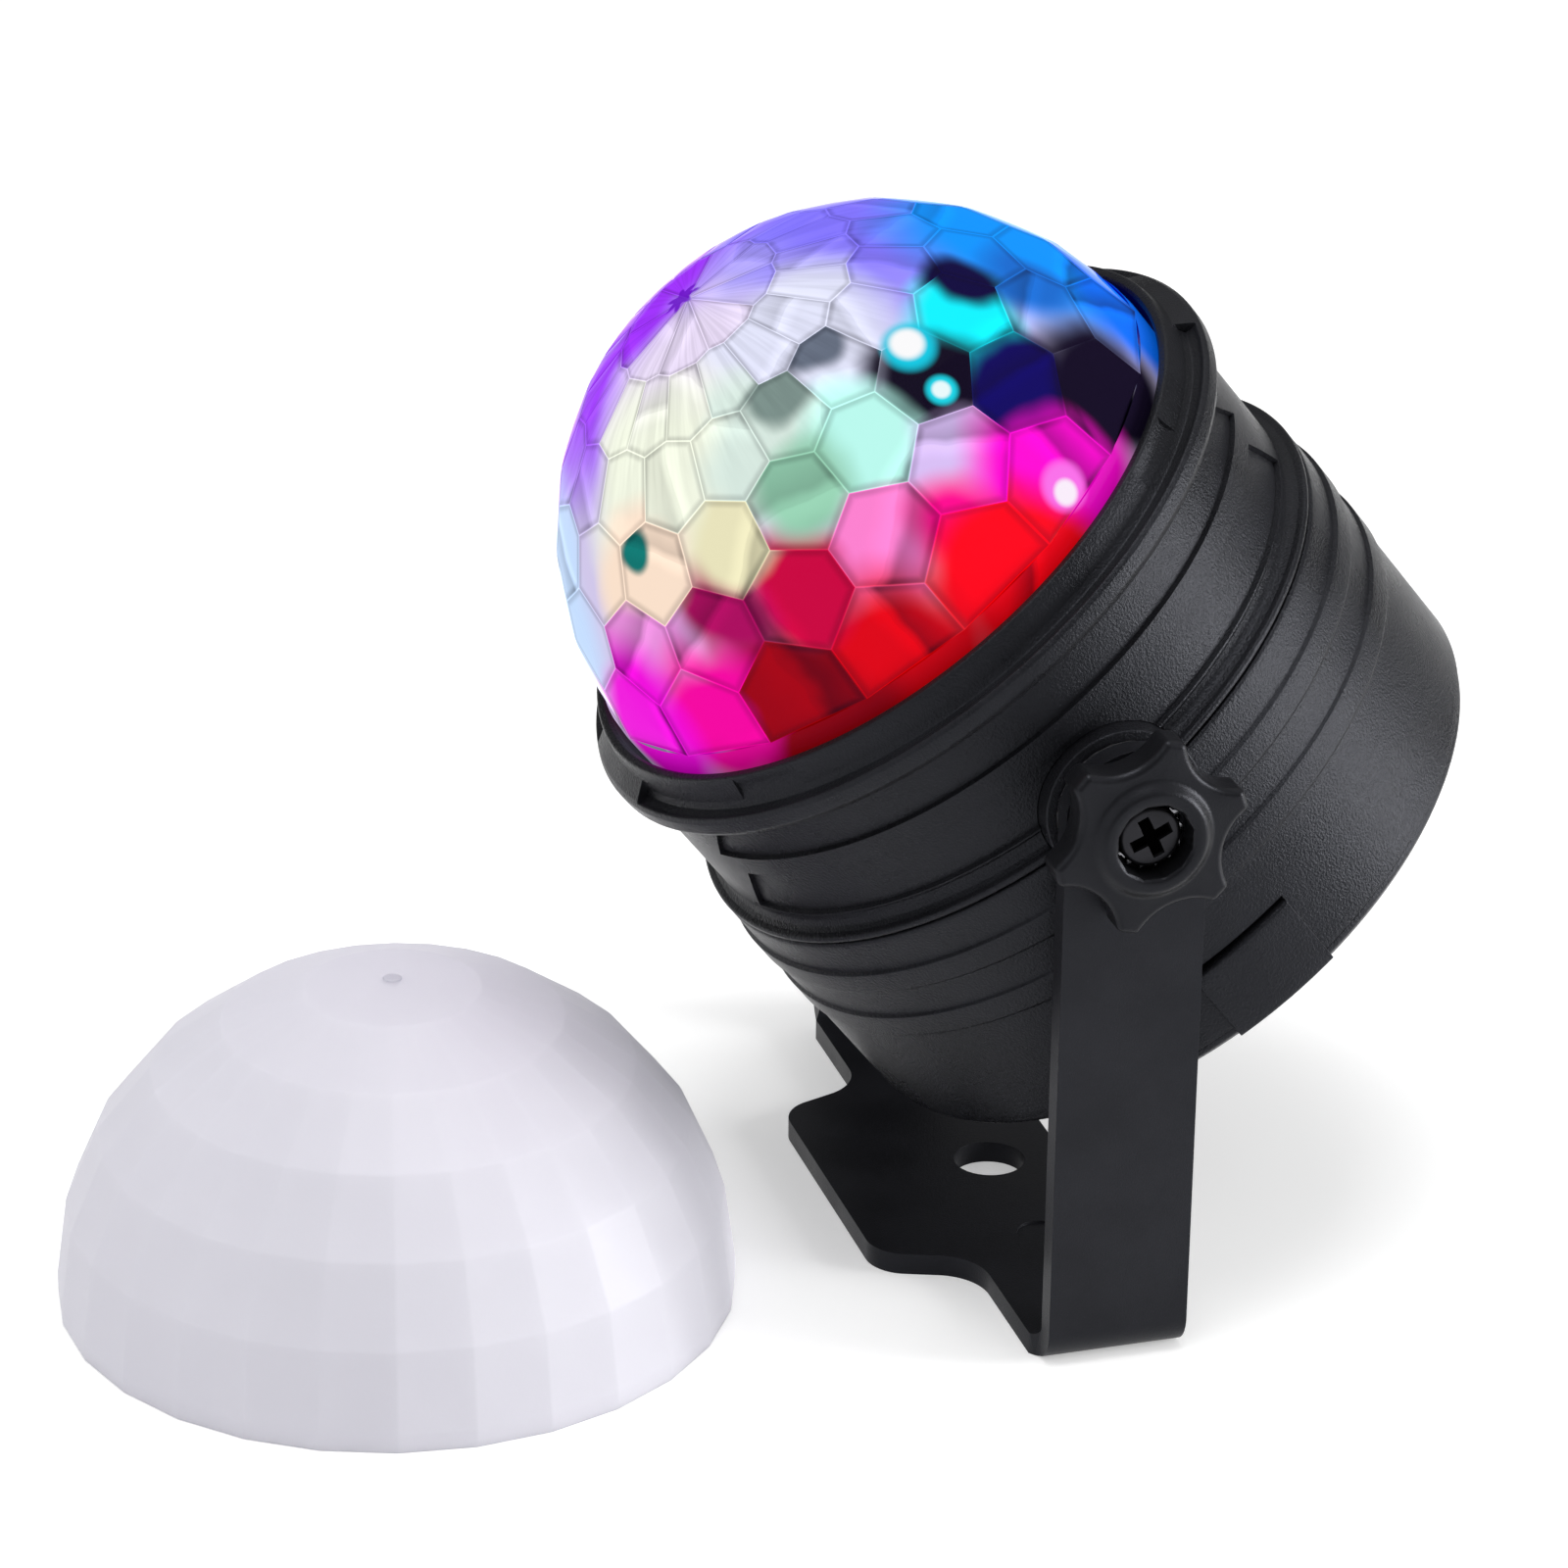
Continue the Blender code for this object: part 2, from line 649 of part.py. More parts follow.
def make_bracket():
    """The U-shaped stand: one moulding with a base plate, a wing and two arms."""
    depth = 2 * (WING_FRONT + OVERRUN)
    stand_up = Matrix.Rotation(pi / 2, 4, "X")
    bracket = prism("bracket", [bracket_side_outline()], depth, stand_up)
    height = PIVOT_HEIGHT + ARM_TOP_R
    lift = Matrix.Translation((0, 0, height / 2))
    keep_inside(bracket, prism("plan", [bracket_plan_outline()], height + 4 * OVERRUN, lift))
    side_on = Matrix.Rotation(pi / 2, 4, "Z") @ stand_up
    keep_inside(bracket, prism("arch", [bracket_arch_outline()], 2 * (ARM_OUTER + OVERRUN), side_on))
    cut(bracket, cylinders("hole", BASE_HOLE_R, -OVERRUN, ARM_THICKNESS + OVERRUN, steps=ROUND_STEPS))
    marks = ((MARK_X, 0), (-MARK_X, 0))
    cut(bracket, cylinders("marks", MARK_R, ARM_THICKNESS - MARK_DEPTH, ARM_THICKNESS + OVERRUN, marks))
    cut(bracket, side_cylinders("pivot_holes", PIVOT_HOLE_R, ARM_INNER - OVERRUN, ARM_OUTER + OVERRUN,
                                (0, PIVOT_HEIGHT), SMALL_STEPS))
    bracket.location = (0, PIVOT_Y, 0)
    finish(bracket, BLACK_PLASTIC)


def star_outline():
    """The knob's six blunt points with scallops between them."""
    scallop_at = KNOB_VALLEY_R + KNOB_SCALLOP_R
    share = (scallop_at ** 2 + KNOB_SCALLOP_R ** 2 - KNOB_TIP_R ** 2) / (2 * scallop_at * KNOB_SCALLOP_R)
    half = acos(share)
    outline = []
    for point in range(KNOB_POINTS):
        valley = KNOB_TURN + tau * (point + 1 / 2) / KNOB_POINTS
        outline += arc(polar(scallop_at, valley), KNOB_SCALLOP_R, valley + pi + half, valley + pi - half,
                       SCALLOP_STEPS)
    return outline


def make_knob():
    """A star knob along Z, measured out from the middle of the lamp."""
    middle = KNOB_PLATE + KNOB_THICKNESS / 2
    knob = prism("knob", [star_outline()], KNOB_THICKNESS, Matrix.Translation((0, 0, middle)))
    edge = knob.modifiers.new("edge", "BEVEL")
    edge.width = KNOB_EDGE
    edge.segments = 1
    edge.limit_method = "ANGLE"
    edge.angle_limit = radians(60)
    slope = KNOB_RING_R + KNOB_RING_H
    hub = turned("hub", ((0, KNOB_FACE), (KNOB_RING_R - KNOB_EDGE, KNOB_FACE),
                         (KNOB_RING_R, KNOB_FACE - KNOB_EDGE),
                         (slope, KNOB_PLATE + KNOB_THICKNESS - KNOB_EDGE),
                         (slope, KNOB_PLATE + KNOB_EDGE), (KNOB_HUB_R, KNOB_PLATE),
                         (KNOB_HUB_R, KNOB_BACK), (0, KNOB_BACK)), steps=ROUND_STEPS)
    join(knob, hub)
    cut(knob, cylinders("recess", KNOB_RECESS_R, KNOB_FLOOR, KNOB_FACE + OVERRUN, steps=TINY_STEPS))
    cut(knob, cylinders("bore", PIVOT_HOLE_R, KNOB_BACK - OVERRUN, KNOB_FACE))
    return knob


def make_pivot_screw():
    """The screw through a knob, along Z, measured out from the middle of the lamp."""
    edge = SCREW_HEAD_R - SCREW_EDGE
    screw = turned("pivot_screw", (
        (0, SCREW_HEAD_TOP), (edge, SCREW_HEAD_TOP), (SCREW_HEAD_R, SCREW_HEAD_TOP - SCREW_EDGE),
        (SCREW_HEAD_R, SCREW_HEAD_SEAT), (SCREW_SHANK_R, SCREW_HEAD_SEAT),
        (SCREW_SHANK_R, SCREW_END), (0, SCREW_END)), steps=SMALL_STEPS)
    low = (-CROSS_LENGTH / 2, -CROSS_WIDTH / 2, SCREW_HEAD_TOP - CROSS_DEPTH)
    high = (CROSS_LENGTH / 2, CROSS_WIDTH / 2, SCREW_HEAD_TOP + OVERRUN)
    for turn in (0, pi / 2):
        cut(screw, blocks("cross", low, high, (turn,)))
    return screw


def ring_outline(outer, inner, low, high):
    """A square-cornered ring."""
    return ((outer, high), (outer, low), (inner, low), (inner, high))


def make_washer():
    """The friction washer between a boss and its arm."""
    outline = ring_outline(WASHER_R, PIVOT_HOLE_R, BOSS_FACE + GAP, ARM_INNER - GAP)
    return turned("pivot_washer", outline, steps=ROUND_STEPS)


def make_insert():
    """The threaded insert in a boss."""
    outline = ring_outline(INSERT_R, PIVOT_HOLE_R, INSERT_INNER, INSERT_OUTER)
    return turned("pivot_insert", outline, steps=SMALL_STEPS)


def make_pivots(head):
    """Knob, screw, washer and insert on each side, all about the tilt axis."""
    makers = ((make_knob, BLACK_PLASTIC, None), (make_pivot_screw, DARK_METAL, None),
              (make_washer, STEEL, None), (make_insert, BRASS, head))
    for make, look, carrier in makers:
        piece = settled(make())
        stem = piece.name
        other = link(stem, piece.data.copy(), parts)
        for obj, side, end in ((piece, 1, "_right"), (other, -1, "_left")):
            obj.name = stem + end
            obj.rotation_euler = (0, side * pi / 2, 0)
            if carrier is None:
                obj.location = (0, PIVOT_Y, PIVOT_HEIGHT)
            finish(obj, look, carrier)


def make_diffuser():
    """The white dome of flat facets, wall and all, standing on its rim."""
    def row_points(radius, rise):
        turns = [pi / 2 * row / DIFFUSER_ROWS for row in range(DIFFUSER_ROWS + 1)]
        return [(radius * sin(turn), DIFFUSER_SKIRT + rise * cos(turn)) for turn in turns]
    outer = row_points(DIFFUSER_R, DIFFUSER_H - DIFFUSER_SKIRT)
    inner = row_points(DIFFUSER_R - DIFFUSER_WALL, DIFFUSER_H - DIFFUSER_SKIRT - DIFFUSER_WALL)
    rim = [(DIFFUSER_R, 0), (DIFFUSER_R - DIFFUSER_WALL, 0)]
    dome = turned("diffuser_dome", outer + rim + inner[::-1], steps=DIFFUSER_SIDES)
    dome.location = (DIFFUSER_X, DIFFUSER_Y, 0)
    finish(dome, WHITE_PLASTIC)


def housing_outline():
    """The front housing with its floor, down the outer side and up the bore."""
    flange = [(NECK_R + rise * FLANGE_RISE, FLANGE_BOTTOM + up * FLANGE_H) for rise, up in FLANGE_SHARES]
    flare = [(NECK_R + rise * SHOULDER, HOUSING_SEAT + up * FLARE_H) for rise, up in FLARE_SHARES]
    collar = [(BORE_R + COLLAR_LIP, COLLAR_TOP), (BORE_R + COLLAR_TOP_WALL, COLLAR_TOP),
              (BORE_R + COLLAR_FOOT_WALL, FLANGE_TOP + COLLAR_FOOT_H)]
    spigot = [(SPIGOT_R, HOUSING_SEAT), (SPIGOT_R, SPIGOT_BOTTOM), (BORE_R, SPIGOT_BOTTOM)]
    floor = [(BORE_R, FLOOR_BOTTOM), (FLOOR_OPENING_R, FLOOR_BOTTOM),
             (FLOOR_OPENING_R, FLOOR_TOP), (BORE_R, FLOOR_TOP)]
    return collar + flange + flare + spigot + floor + [(BORE_R, COLLAR_TOP - COLLAR_LIP)]


def side_windows():
    """Cutter for the shallow windows on both sides, with the smooth spines left standing."""
    outer = NECK_R + OVERRUN
    rear = ring_outline(outer, WINDOW_R, REAR_WINDOW_BOTTOM, REAR_WINDOW_TOP)
    front = ring_outline(outer, WINDOW_R, FRONT_WINDOW_BOTTOM, FRONT_WINDOW_TOP)
    windows = turned("windows", rear, front)
    rear_low, rear_high = SPINE_REAR_SHARES
    front_low, front_high = SPINE_FRONT_SHARES
    right = [(rear_low * NECK_R, REAR_WINDOW_BOTTOM - LIP_H),
             (rear_high * NECK_R, REAR_WINDOW_TOP + LIP_H),
             (front_low * NECK_R, FRONT_WINDOW_BOTTOM - LIP_H),
             (front_high * NECK_R, FRONT_WINDOW_TOP + LIP_H)]
    outline = right + [(-x, height) for x, height in reversed(right)]
    spine = prism("spine", [outline], 2 * (outer + OVERRUN), Matrix.Rotation(pi / 2, 4, "X"))
    return cut(windows, spine)


def groove_pads():
    """Sloping pads that fill the groove between collar and flange, above and below."""
    low, high = FLANGE_BOTTOM + FLANGE_H / 2, COLLAR_TOP - COLLAR_H / 2
    inner = BORE_R + COLLAR_TOP_WALL - PAD_BURY
    rim = NECK_R + FLANGE_RISE - PAD_BURY
    pads = turned("pads", ((inner, high), (rim, FLANGE_TOP + PAD_LIFT), (rim, low), (inner, low)))
    reach = NECK_R + FLANGE_RISE + OVERRUN
    limits = blocks("limits", (0, -PAD_HALF_WIDTH, low - OVERRUN), (reach, PAD_HALF_WIDTH, high + OVERRUN),
                    PAD_TURNS)
    return keep_inside(pads, limits)


def make_housing(head):
    """The front housing with its windows, floor, posts, motor cup and gear hooks."""
    housing = turned("front_housing", housing_outline())
    join(housing, groove_pads())
    cut(housing, side_windows())
    foot = FLANGE_TOP + COLLAR_FOOT_H + POCKET_MARGIN
    floor = (BORE_R + COLLAR_TOP_WALL) * cos(POCKET_WIDTH / 2 / BORE_R) - POCKET_DEPTH
    cut(housing, blocks("pockets", (floor, -POCKET_WIDTH / 2, foot),
                        (NECK_R + OVERRUN, POCKET_WIDTH / 2, COLLAR_TOP - POCKET_MARGIN), POCKET_TURNS))
    cut(housing, side_cylinders("boss_notches", BOSS_R + GAP, BOSS_INNER - GAP, RIB_R + OVERRUN))
    post_places = [polar(POST_RING_R, turn) for turn in TRIPLE]
    post_bottom = SHELF_TOP + GAP
    buried = FLOOR_BOTTOM + LOOSE_GAP
    join(housing, cylinders("posts", POST_R, post_bottom, buried, post_places))
    cut(housing, cylinders("post_holes", FINE_HOLE_R, post_bottom - OVERRUN,
                           post_bottom + POST_HOLE_DEPTH, post_places, TINY_STEPS))
    cup = turned("motor_cup", ring_outline(CUP_R, MOTOR_R + GAP, FLOOR_BOTTOM - CUP_DEPTH, buried),
                 steps=ROUND_STEPS)
    cup.location = (0, -PINION_OFFSET, 0)
    join(housing, cup)
    cut(housing, cylinders("nose_hole", MOTOR_NOSE_R + GAP, FLOOR_BOTTOM - LOOSE_GAP, FLOOR_TOP + OVERRUN,
                           ((0, -PINION_OFFSET),)))
    led_screws = ((LED_SCREW_X, 0), (-LED_SCREW_X, 0))
    cut(housing, cylinders("led_screw_holes", FINE_HOLE_R, FLOOR_BOTTOM - OVERRUN, FLOOR_TOP + OVERRUN,
                           led_screws, TINY_STEPS))
    nose_low = GEAR_TOP + GAP
    nose_high = nose_low + HOOK_NOSE_H
    inner = HOOK_OUTER - HOOK_THICKNESS
    hook = [(inner, FLOOR_TOP - HOOK_BURY), (HOOK_OUTER, FLOOR_TOP - HOOK_BURY), (HOOK_OUTER, nose_low),
            (HOOK_OUTER + HOOK_REACH, nose_low), (HOOK_OUTER + HOOK_REACH, nose_low + HOOK_NOSE_H / 3),
            (HOOK_OUTER, nose_high), (inner, nose_high)]
    for turn in TRIPLE:
        place = Matrix.Rotation(turn, 4, "Z") @ Matrix.Rotation(pi / 2, 4, "X")
        join(housing, prism("hook", [hook], HOOK_WIDTH, place))
    finish(housing, BLACK_PLASTIC, head)


def drum_outline():
    """The rear drum with its two ribs and inner shelf."""
    outline = [(DRUM_R, DRUM_TOP)]
    height = DRUM_TOP
    for band in (FRONT_BAND_H, REAR_BAND_H):
        outline += [(DRUM_R, height - band + RIB_SLOPE), (RIB_R, height - band)]
        height -= band + RIB_H
        outline += [(RIB_R, height)]
        outline += [(DRUM_R + TAIL_RISE, height - RIB_SLOPE)]
    outline += [(DRUM_R + TAIL_RISE, DRUM_BOTTOM), (DRUM_INNER_R, DRUM_BOTTOM)]
    outline += [(DRUM_INNER_R, SHELF_BOTTOM), (SHELF_R, SHELF_BOTTOM), (SHELF_R, SHELF_TOP)]
    return outline + [(DRUM_INNER_R, SHELF_TOP), (DRUM_INNER_R, DRUM_TOP)]


def tab_space(name, outline, half_width):
    """A stretch of ring on each side, as wide as a tab."""
    ring = turned(name, outline)
    reach = TAB_OUTER_R + OVERRUN
    low, high = COVER_SEAT - COVER_DEPTH - OVERRUN, TAB_TOP + TAB_SLOT + OVERRUN
    return keep_inside(ring, blocks("limits", (0, -half_width, low), (reach, half_width, high), (0, pi)))


def make_drum(head):
    """The rear drum with its pivot bosses, screw posts and tab notches."""
    drum = turned("rear_drum", drum_outline())
    join(drum, side_cylinders("bosses", BOSS_R, BOSS_INNER, RIB_R))
    cut(drum, side_cylinders("spotfaces", BOSS_R + SPOTFACE_MARGIN, BOSS_FACE, RIB_R + OVERRUN))
    cut(drum, side_cylinders("boss_holes", INSERT_R + GAP, BOSS_INNER - OVERRUN, RIB_R + OVERRUN,
                             steps=SMALL_STEPS))
    shelf_places = [polar(POST_RING_R, turn) for turn in TRIPLE]
    cut(drum, cylinders("shelf_holes", FINE_HOLE_R, SHELF_BOTTOM - OVERRUN, SHELF_TOP + OVERRUN,
                        shelf_places, TINY_STEPS))
    post_places = [polar(COVER_SCREW_RING_R, turn) for turn in QUAD]
    join(drum, cylinders("posts", DRUM_POST_R, DRUM_POST_BOTTOM, DRUM_POST_BOTTOM + DRUM_POST_H, post_places))
    cut(drum, cylinders("post_holes", FINE_HOLE_R, DRUM_POST_BOTTOM - OVERRUN,
                        DRUM_POST_BOTTOM + DRUM_POST_H - OVERRUN, post_places, TINY_STEPS))
    notch = ring_outline(TAB_OUTER_R + OVERRUN, TAB_INNER_R - GAP, DRUM_BOTTOM - OVERRUN, TAB_TOP + TAB_SLOT)
    cut(drum, tab_space("tab_notches", notch, TAB_HALF_WIDTH + GAP))
    finish(drum, BLACK_PLASTIC, head)


def cover_outline():
    """The dished rear cover with the spigot that enters the drum."""
    outer = [(share * COVER_R, COVER_SEAT - down * COVER_DEPTH) for share, down in COVER_SHARES]
    spigot_inner = COVER_SPIGOT_R - COVER_SPIGOT_WALL
    spigot_top = COVER_SEAT + COVER_SPIGOT_H
    inner = [(0, outer[-1][1] + COVER_WALL), (outer[-2][0], outer[-2][1] + COVER_WALL),
             (spigot_inner, COVER_SEAT - 2 * GAP), (spigot_inner, spigot_top),
             (COVER_SPIGOT_R, spigot_top), (COVER_SPIGOT_R, COVER_SEAT)]
    return inner + outer


def make_cover(head):
    """The rear cover with its tabs, screw bosses, board posts, vents and inlet hole."""
    cover = turned("rear_cover", cover_outline())
    boss_places = [polar(COVER_SCREW_RING_R, turn) for turn in QUAD]
    boss_top = COVER_SEAT + COVER_SPIGOT_H - COVER_BOSS_INSET
    bottom = COVER_SEAT - COVER_DEPTH
    join(cover, cylinders("bosses", COVER_BOSS_R, COUNTERBORE_FLOOR - GAP, boss_top, boss_places))
    cut(cover, cylinders("counterbores", COUNTERBORE_R, bottom - OVERRUN, COUNTERBORE_FLOOR, boss_places))
    cut(cover, cylinders("screw_holes", FINE_HOLE_R, bottom, boss_top + OVERRUN, boss_places, TINY_STEPS))
    tab = ((TAB_OUTER_R, TAB_TOP), (TAB_OUTER_R, COVER_SEAT - TAB_ROOT_H),
           (TAB_ROOT_R, COVER_SEAT - TAB_ROOT_H + GAP), (TAB_ROOT_R, COVER_SEAT - TAB_LIFT),
           (TAB_INNER_R, COVER_SEAT - TAB_LIFT), (TAB_INNER_R, TAB_TOP))
    join(cover, tab_space("tabs", tab, TAB_HALF_WIDTH))
    board_places = ((BOARD_POST_X, BOARD_Y), (-BOARD_POST_X, BOARD_Y))
    plate_middle = bottom + COVER_WALL - GAP
    join(cover, cylinders("board_posts", BOARD_POST_R, plate_middle, BOARD_POST_TOP, board_places))
    cut(cover, cylinders("board_post_holes", FINE_HOLE_R, BOARD_POST_TOP - BOARD_SCREW_LENGTH,
                         BOARD_POST_TOP + OVERRUN, board_places, TINY_STEPS))
    vent_turns = [tau * vent / VENTS for vent in range(VENTS)]
    cut(cover, blocks("vents", (VENT_INNER_R, -VENT_WIDTH / 2, bottom - OVERRUN),
                      (VENT_INNER_R + VENT_LENGTH, VENT_WIDTH / 2, COVER_SEAT), vent_turns))
    cut(cover, cylinders("inlet_hole", SOCKET_NOSE_R + GAP, bottom - OVERRUN, COVER_SEAT, ((0, SOCKET_Y),)))
    cut(cover, cylinders("mic_hole", MIC_HOLE_R, bottom - OVERRUN, COVER_SEAT,
                         (polar(MIC_RING_R, MIC_TURN),), TINY_STEPS))
    finish(cover, BLACK_PLASTIC, head)


def small_screw(name, seat, length, up):
    """A pan-head screw on Z with a round drive, head on the given side of its seat."""
    head = seat + up * FINE_HEAD_H
    rounding = seat + up * FINE_HEAD_H / 2
    end = seat - up * length
    drive = head - up * DRIVE_DEPTH
    outline = [(0, drive), (DRIVE_R, drive), (DRIVE_R, head), (FINE_HEAD_R - DRIVE_R / 2, head),
               (FINE_HEAD_R, rounding), (FINE_HEAD_R, seat), (FINE_SHANK_R, seat),
               (FINE_SHANK_R, end), (0, end)]
    if up < 0:
        outline.reverse()
    return settled(turned(name, outline, steps=TINY_STEPS))


def make_screws(head):
    """The small screws of the housing, LED board, control board and rear cover."""
    led = small_screw("led_screw", FLOOR_TOP + GAP, LED_SCREW_LENGTH, 1)
    copies("led_screw", led, STEEL, head, ((LED_SCREW_X, 0), (-LED_SCREW_X, 0)))
    housing = small_screw("housing_screw", SHELF_BOTTOM - GAP, HOUSING_SCREW_LENGTH, -1)
    copies("housing_screw", housing, STEEL, head, [polar(POST_RING_R, turn) for turn in TRIPLE])
    board = small_screw("board_screw", BOARD_TOP + GAP, BOARD_SCREW_LENGTH, 1)
    copies("board_screw", board, STEEL, head, ((BOARD_POST_X, BOARD_Y), (-BOARD_POST_X, BOARD_Y)))
    cover = small_screw("rear_cover_screw", COUNTERBORE_FLOOR - GAP, COVER_SCREW_LENGTH, -1)
    copies("rear_cover_screw", cover, DARK_METAL, head, [polar(COVER_SCREW_RING_R, turn) for turn in QUAD])


def make_led_unit(head):
    """LED board, finned heat sink and the four lamps."""
    screws = ((LED_SCREW_X, 0), (-LED_SCREW_X, 0))
    board = cylinders("led_board", HEAT_SINK_R, LED_BOARD_BOTTOM, LED_BOARD_TOP, steps=ROUND_STEPS)
    cut(board, cylinders("holes", FINE_HOLE_R, LED_BOARD_BOTTOM - OVERRUN, LED_BOARD_TOP + OVERRUN,
                         screws, TINY_STEPS))
    finish(board, BOARD_WHITE, head)
    sink = cylinders("heat_sink", HEAT_SINK_R, HEAT_SINK_BOTTOM, HEAT_SINK_TOP, steps=ROUND_STEPS)
    slots = bmesh.new()
    low, high = HEAT_SINK_BOTTOM - OVERRUN, HEAT_SINK_TOP - HEAT_SINK_BASE
    reach = 2 * (HEAT_SINK_R + OVERRUN)
    for slot in range(-FIN_SIDE_SLOTS, FIN_SIDE_SLOTS + 1):
        place = Matrix.Translation((slot * FIN_PITCH, 0, (low + high) / 2))
        size = Matrix.Diagonal((FIN_SLOT, reach, high - low, 1))
        bmesh.ops.create_cube(slots, size=1, matrix=place @ size)
    cut(sink, filled("slots", slots))
    notch_y = HEAT_SINK_R - LEAD_NOTCH_DEPTH
    cut(sink, blocks("notch", (-LEAD_NOTCH_WIDTH / 2, notch_y, low),
                     (LEAD_NOTCH_WIDTH / 2, HEAT_SINK_R + OVERRUN, HEAT_SINK_TOP + OVERRUN)))
    hole_end = FLOOR_TOP + GAP - LED_SCREW_LENGTH - HOLE_END
    cut(sink, cylinders("holes", FINE_HOLE_R, hole_end, HEAT_SINK_TOP + OVERRUN, screws, TINY_STEPS))
    finish(sink, ALUMINIUM, head)
    seat = LED_BOARD_TOP + GAP
    rim = seat + LED_BASE_H
    top = rim + LED_LENS_H
    lens = [(LED_LENS_R * sin(turn), rim + LED_LENS_H * cos(turn)) for turn in (pi / 6, pi / 3, pi / 2)]
    outline = [(0, top)] + lens + [(LED_BASE_R, rim), (LED_BASE_R, seat), (0, seat)]
    lamps = [("white_led", LED_WHITE, (0, 0))]
    for name, look, turn in zip(("red_led", "green_led", "blue_led"), (LED_RED, LED_GREEN, LED_BLUE), TRIPLE):
        lamps.append((name, look, polar(LED_RING_R, turn)))
    for name, look, (x, y) in lamps:
        lamp = turned(name, outline, steps=SMALL_STEPS)
        lamp.location = (x, y, 0)
        finish(lamp, look, head)


def toothed_outline(teeth, tip_r, root_r, phase):
    """Four points for each tooth, from root to tip and back."""
    tip_half = TIP_WIDTH_SHARE * MODULE / tip_r
    root_half = ROOT_WIDTH_SHARE * MODULE / root_r
    outline = []
    for tooth in range(teeth):
        middle = phase + tau * tooth / teeth
        outline += [polar(root_r, middle - root_half), polar(tip_r, middle - tip_half),
                    polar(tip_r, middle + tip_half), polar(root_r, middle + root_half)]
    return outline


def make_drive(head):
    """Motor, shaft, pinion and the dome's ring gear."""
    bore_floor = MOTOR_TOP + MOTOR_NOSE_H - MOTOR_BORE_DEPTH
    nose_top = MOTOR_TOP + MOTOR_NOSE_H
    motor = turned("drive_motor", (
        (0, bore_floor), (SHAFT_BORE_R, bore_floor), (SHAFT_BORE_R, nose_top), (MOTOR_NOSE_R, nose_top),
        (MOTOR_NOSE_R, MOTOR_TOP), (MOTOR_R, MOTOR_TOP), (MOTOR_R, MOTOR_BOTTOM), (0, MOTOR_BOTTOM)),
        steps=ROUND_STEPS)
    pinion_low, pinion_high = GEAR_BOTTOM + PINION_INSET, GEAR_TOP - PINION_INSET
    shaft = cylinders("motor_shaft", SHAFT_R, bore_floor + GAP, pinion_high, steps=TINY_STEPS)
    tip = TOOTH_TIP_SHARE * MODULE
    root = TOOTH_ROOT_SHARE * MODULE
    lift = Matrix.Translation((0, 0, (pinion_low + pinion_high) / 2))
    teeth = toothed_outline(PINION_TEETH, PINION_PITCH_R + tip, PINION_PITCH_R - root, -pi / 2)
    bore = arc((0, 0), SHAFT_BORE_R, 0, tau * (TINY_STEPS - 1) / TINY_STEPS, TINY_STEPS - 1)
    pinion = prism("motor_pinion", [teeth, bore], pinion_high - pinion_low, lift)
    for obj, look in ((motor, STEEL), (shaft, STEEL), (pinion, NYLON)):
        obj.location = (0, -PINION_OFFSET, 0)
        finish(obj, look, head)
    ring_phase = -pi / 2 + pi / RING_TEETH
    ring_teeth = toothed_outline(RING_TEETH, RING_PITCH_R - tip, RING_PITCH_R + root, ring_phase)
    outer = arc((0, 0), GEAR_R, 0, tau * (BARREL_STEPS - 1) / BARREL_STEPS, BARREL_STEPS - 1)
    lift = Matrix.Translation((0, 0, (GEAR_BOTTOM + GEAR_TOP) / 2))
    gear = prism("ring_gear", [outer, ring_teeth], GEAR_THICKNESS, lift)
    spigot_inner = GEAR_SPIGOT_R - GEAR_SPIGOT_WALL
    middle = (GEAR_BOTTOM + GEAR_TOP) / 2
    join(gear, turned("spigot", ring_outline(GEAR_SPIGOT_R, spigot_inner, middle, GEAR_TOP + GEAR_SPIGOT_H)))
    finish(gear, NYLON, head)


def facet_directions():
    """Unit directions of the dome's facets: staggered rows round the apex."""
    directions = []
    for number, row in enumerate(FACET_ROWS + (EDGE_ROW,)):
        stagger = pi / FACETS_ROUND * (number % 2)
        for facet in range(FACETS_ROUND):
            x, y = polar(sin(row), FACET_TURN + stagger + tau * facet / FACETS_ROUND)
            directions.append((x, y, cos(row)))
    for facet in range(ceil(FACETS_ROUND / 2)):
        x, y = polar(sin(APEX_ROW), FACET_TURN + tau * facet / ceil(FACETS_ROUND / 2))
        directions.append((x, y, cos(APEX_ROW)))
    return directions


def hull(form):
    """Keep only the convex hull of a bmesh's points."""
    result = bmesh.ops.convex_hull(form, input=form.verts, use_existing_faces=False)
    spare = {item for key in ("geom_interior", "geom_unused") for item in result[key]}
    bmesh.ops.delete(form, geom=[item for item in spare if isinstance(item, bmesh.types.BMVert)],
                     context="VERTS")


def facet_corners():
    """Where the facets' planes meet, three by three, above the plain band."""
    form = bmesh.new()
    for direction in facet_directions():
        form.verts.new(direction)
    hull(form)
    form.normal_update()
    corners = []
    for face in form.faces:
        reach = FACET_PLANE_R / face.normal.dot(face.verts[0].co)
        corner = face.normal * reach
        if corner.z > DOME_R * cos(BAND_ANGLE):
            corners.append(corner)
    form.free()
    return corners


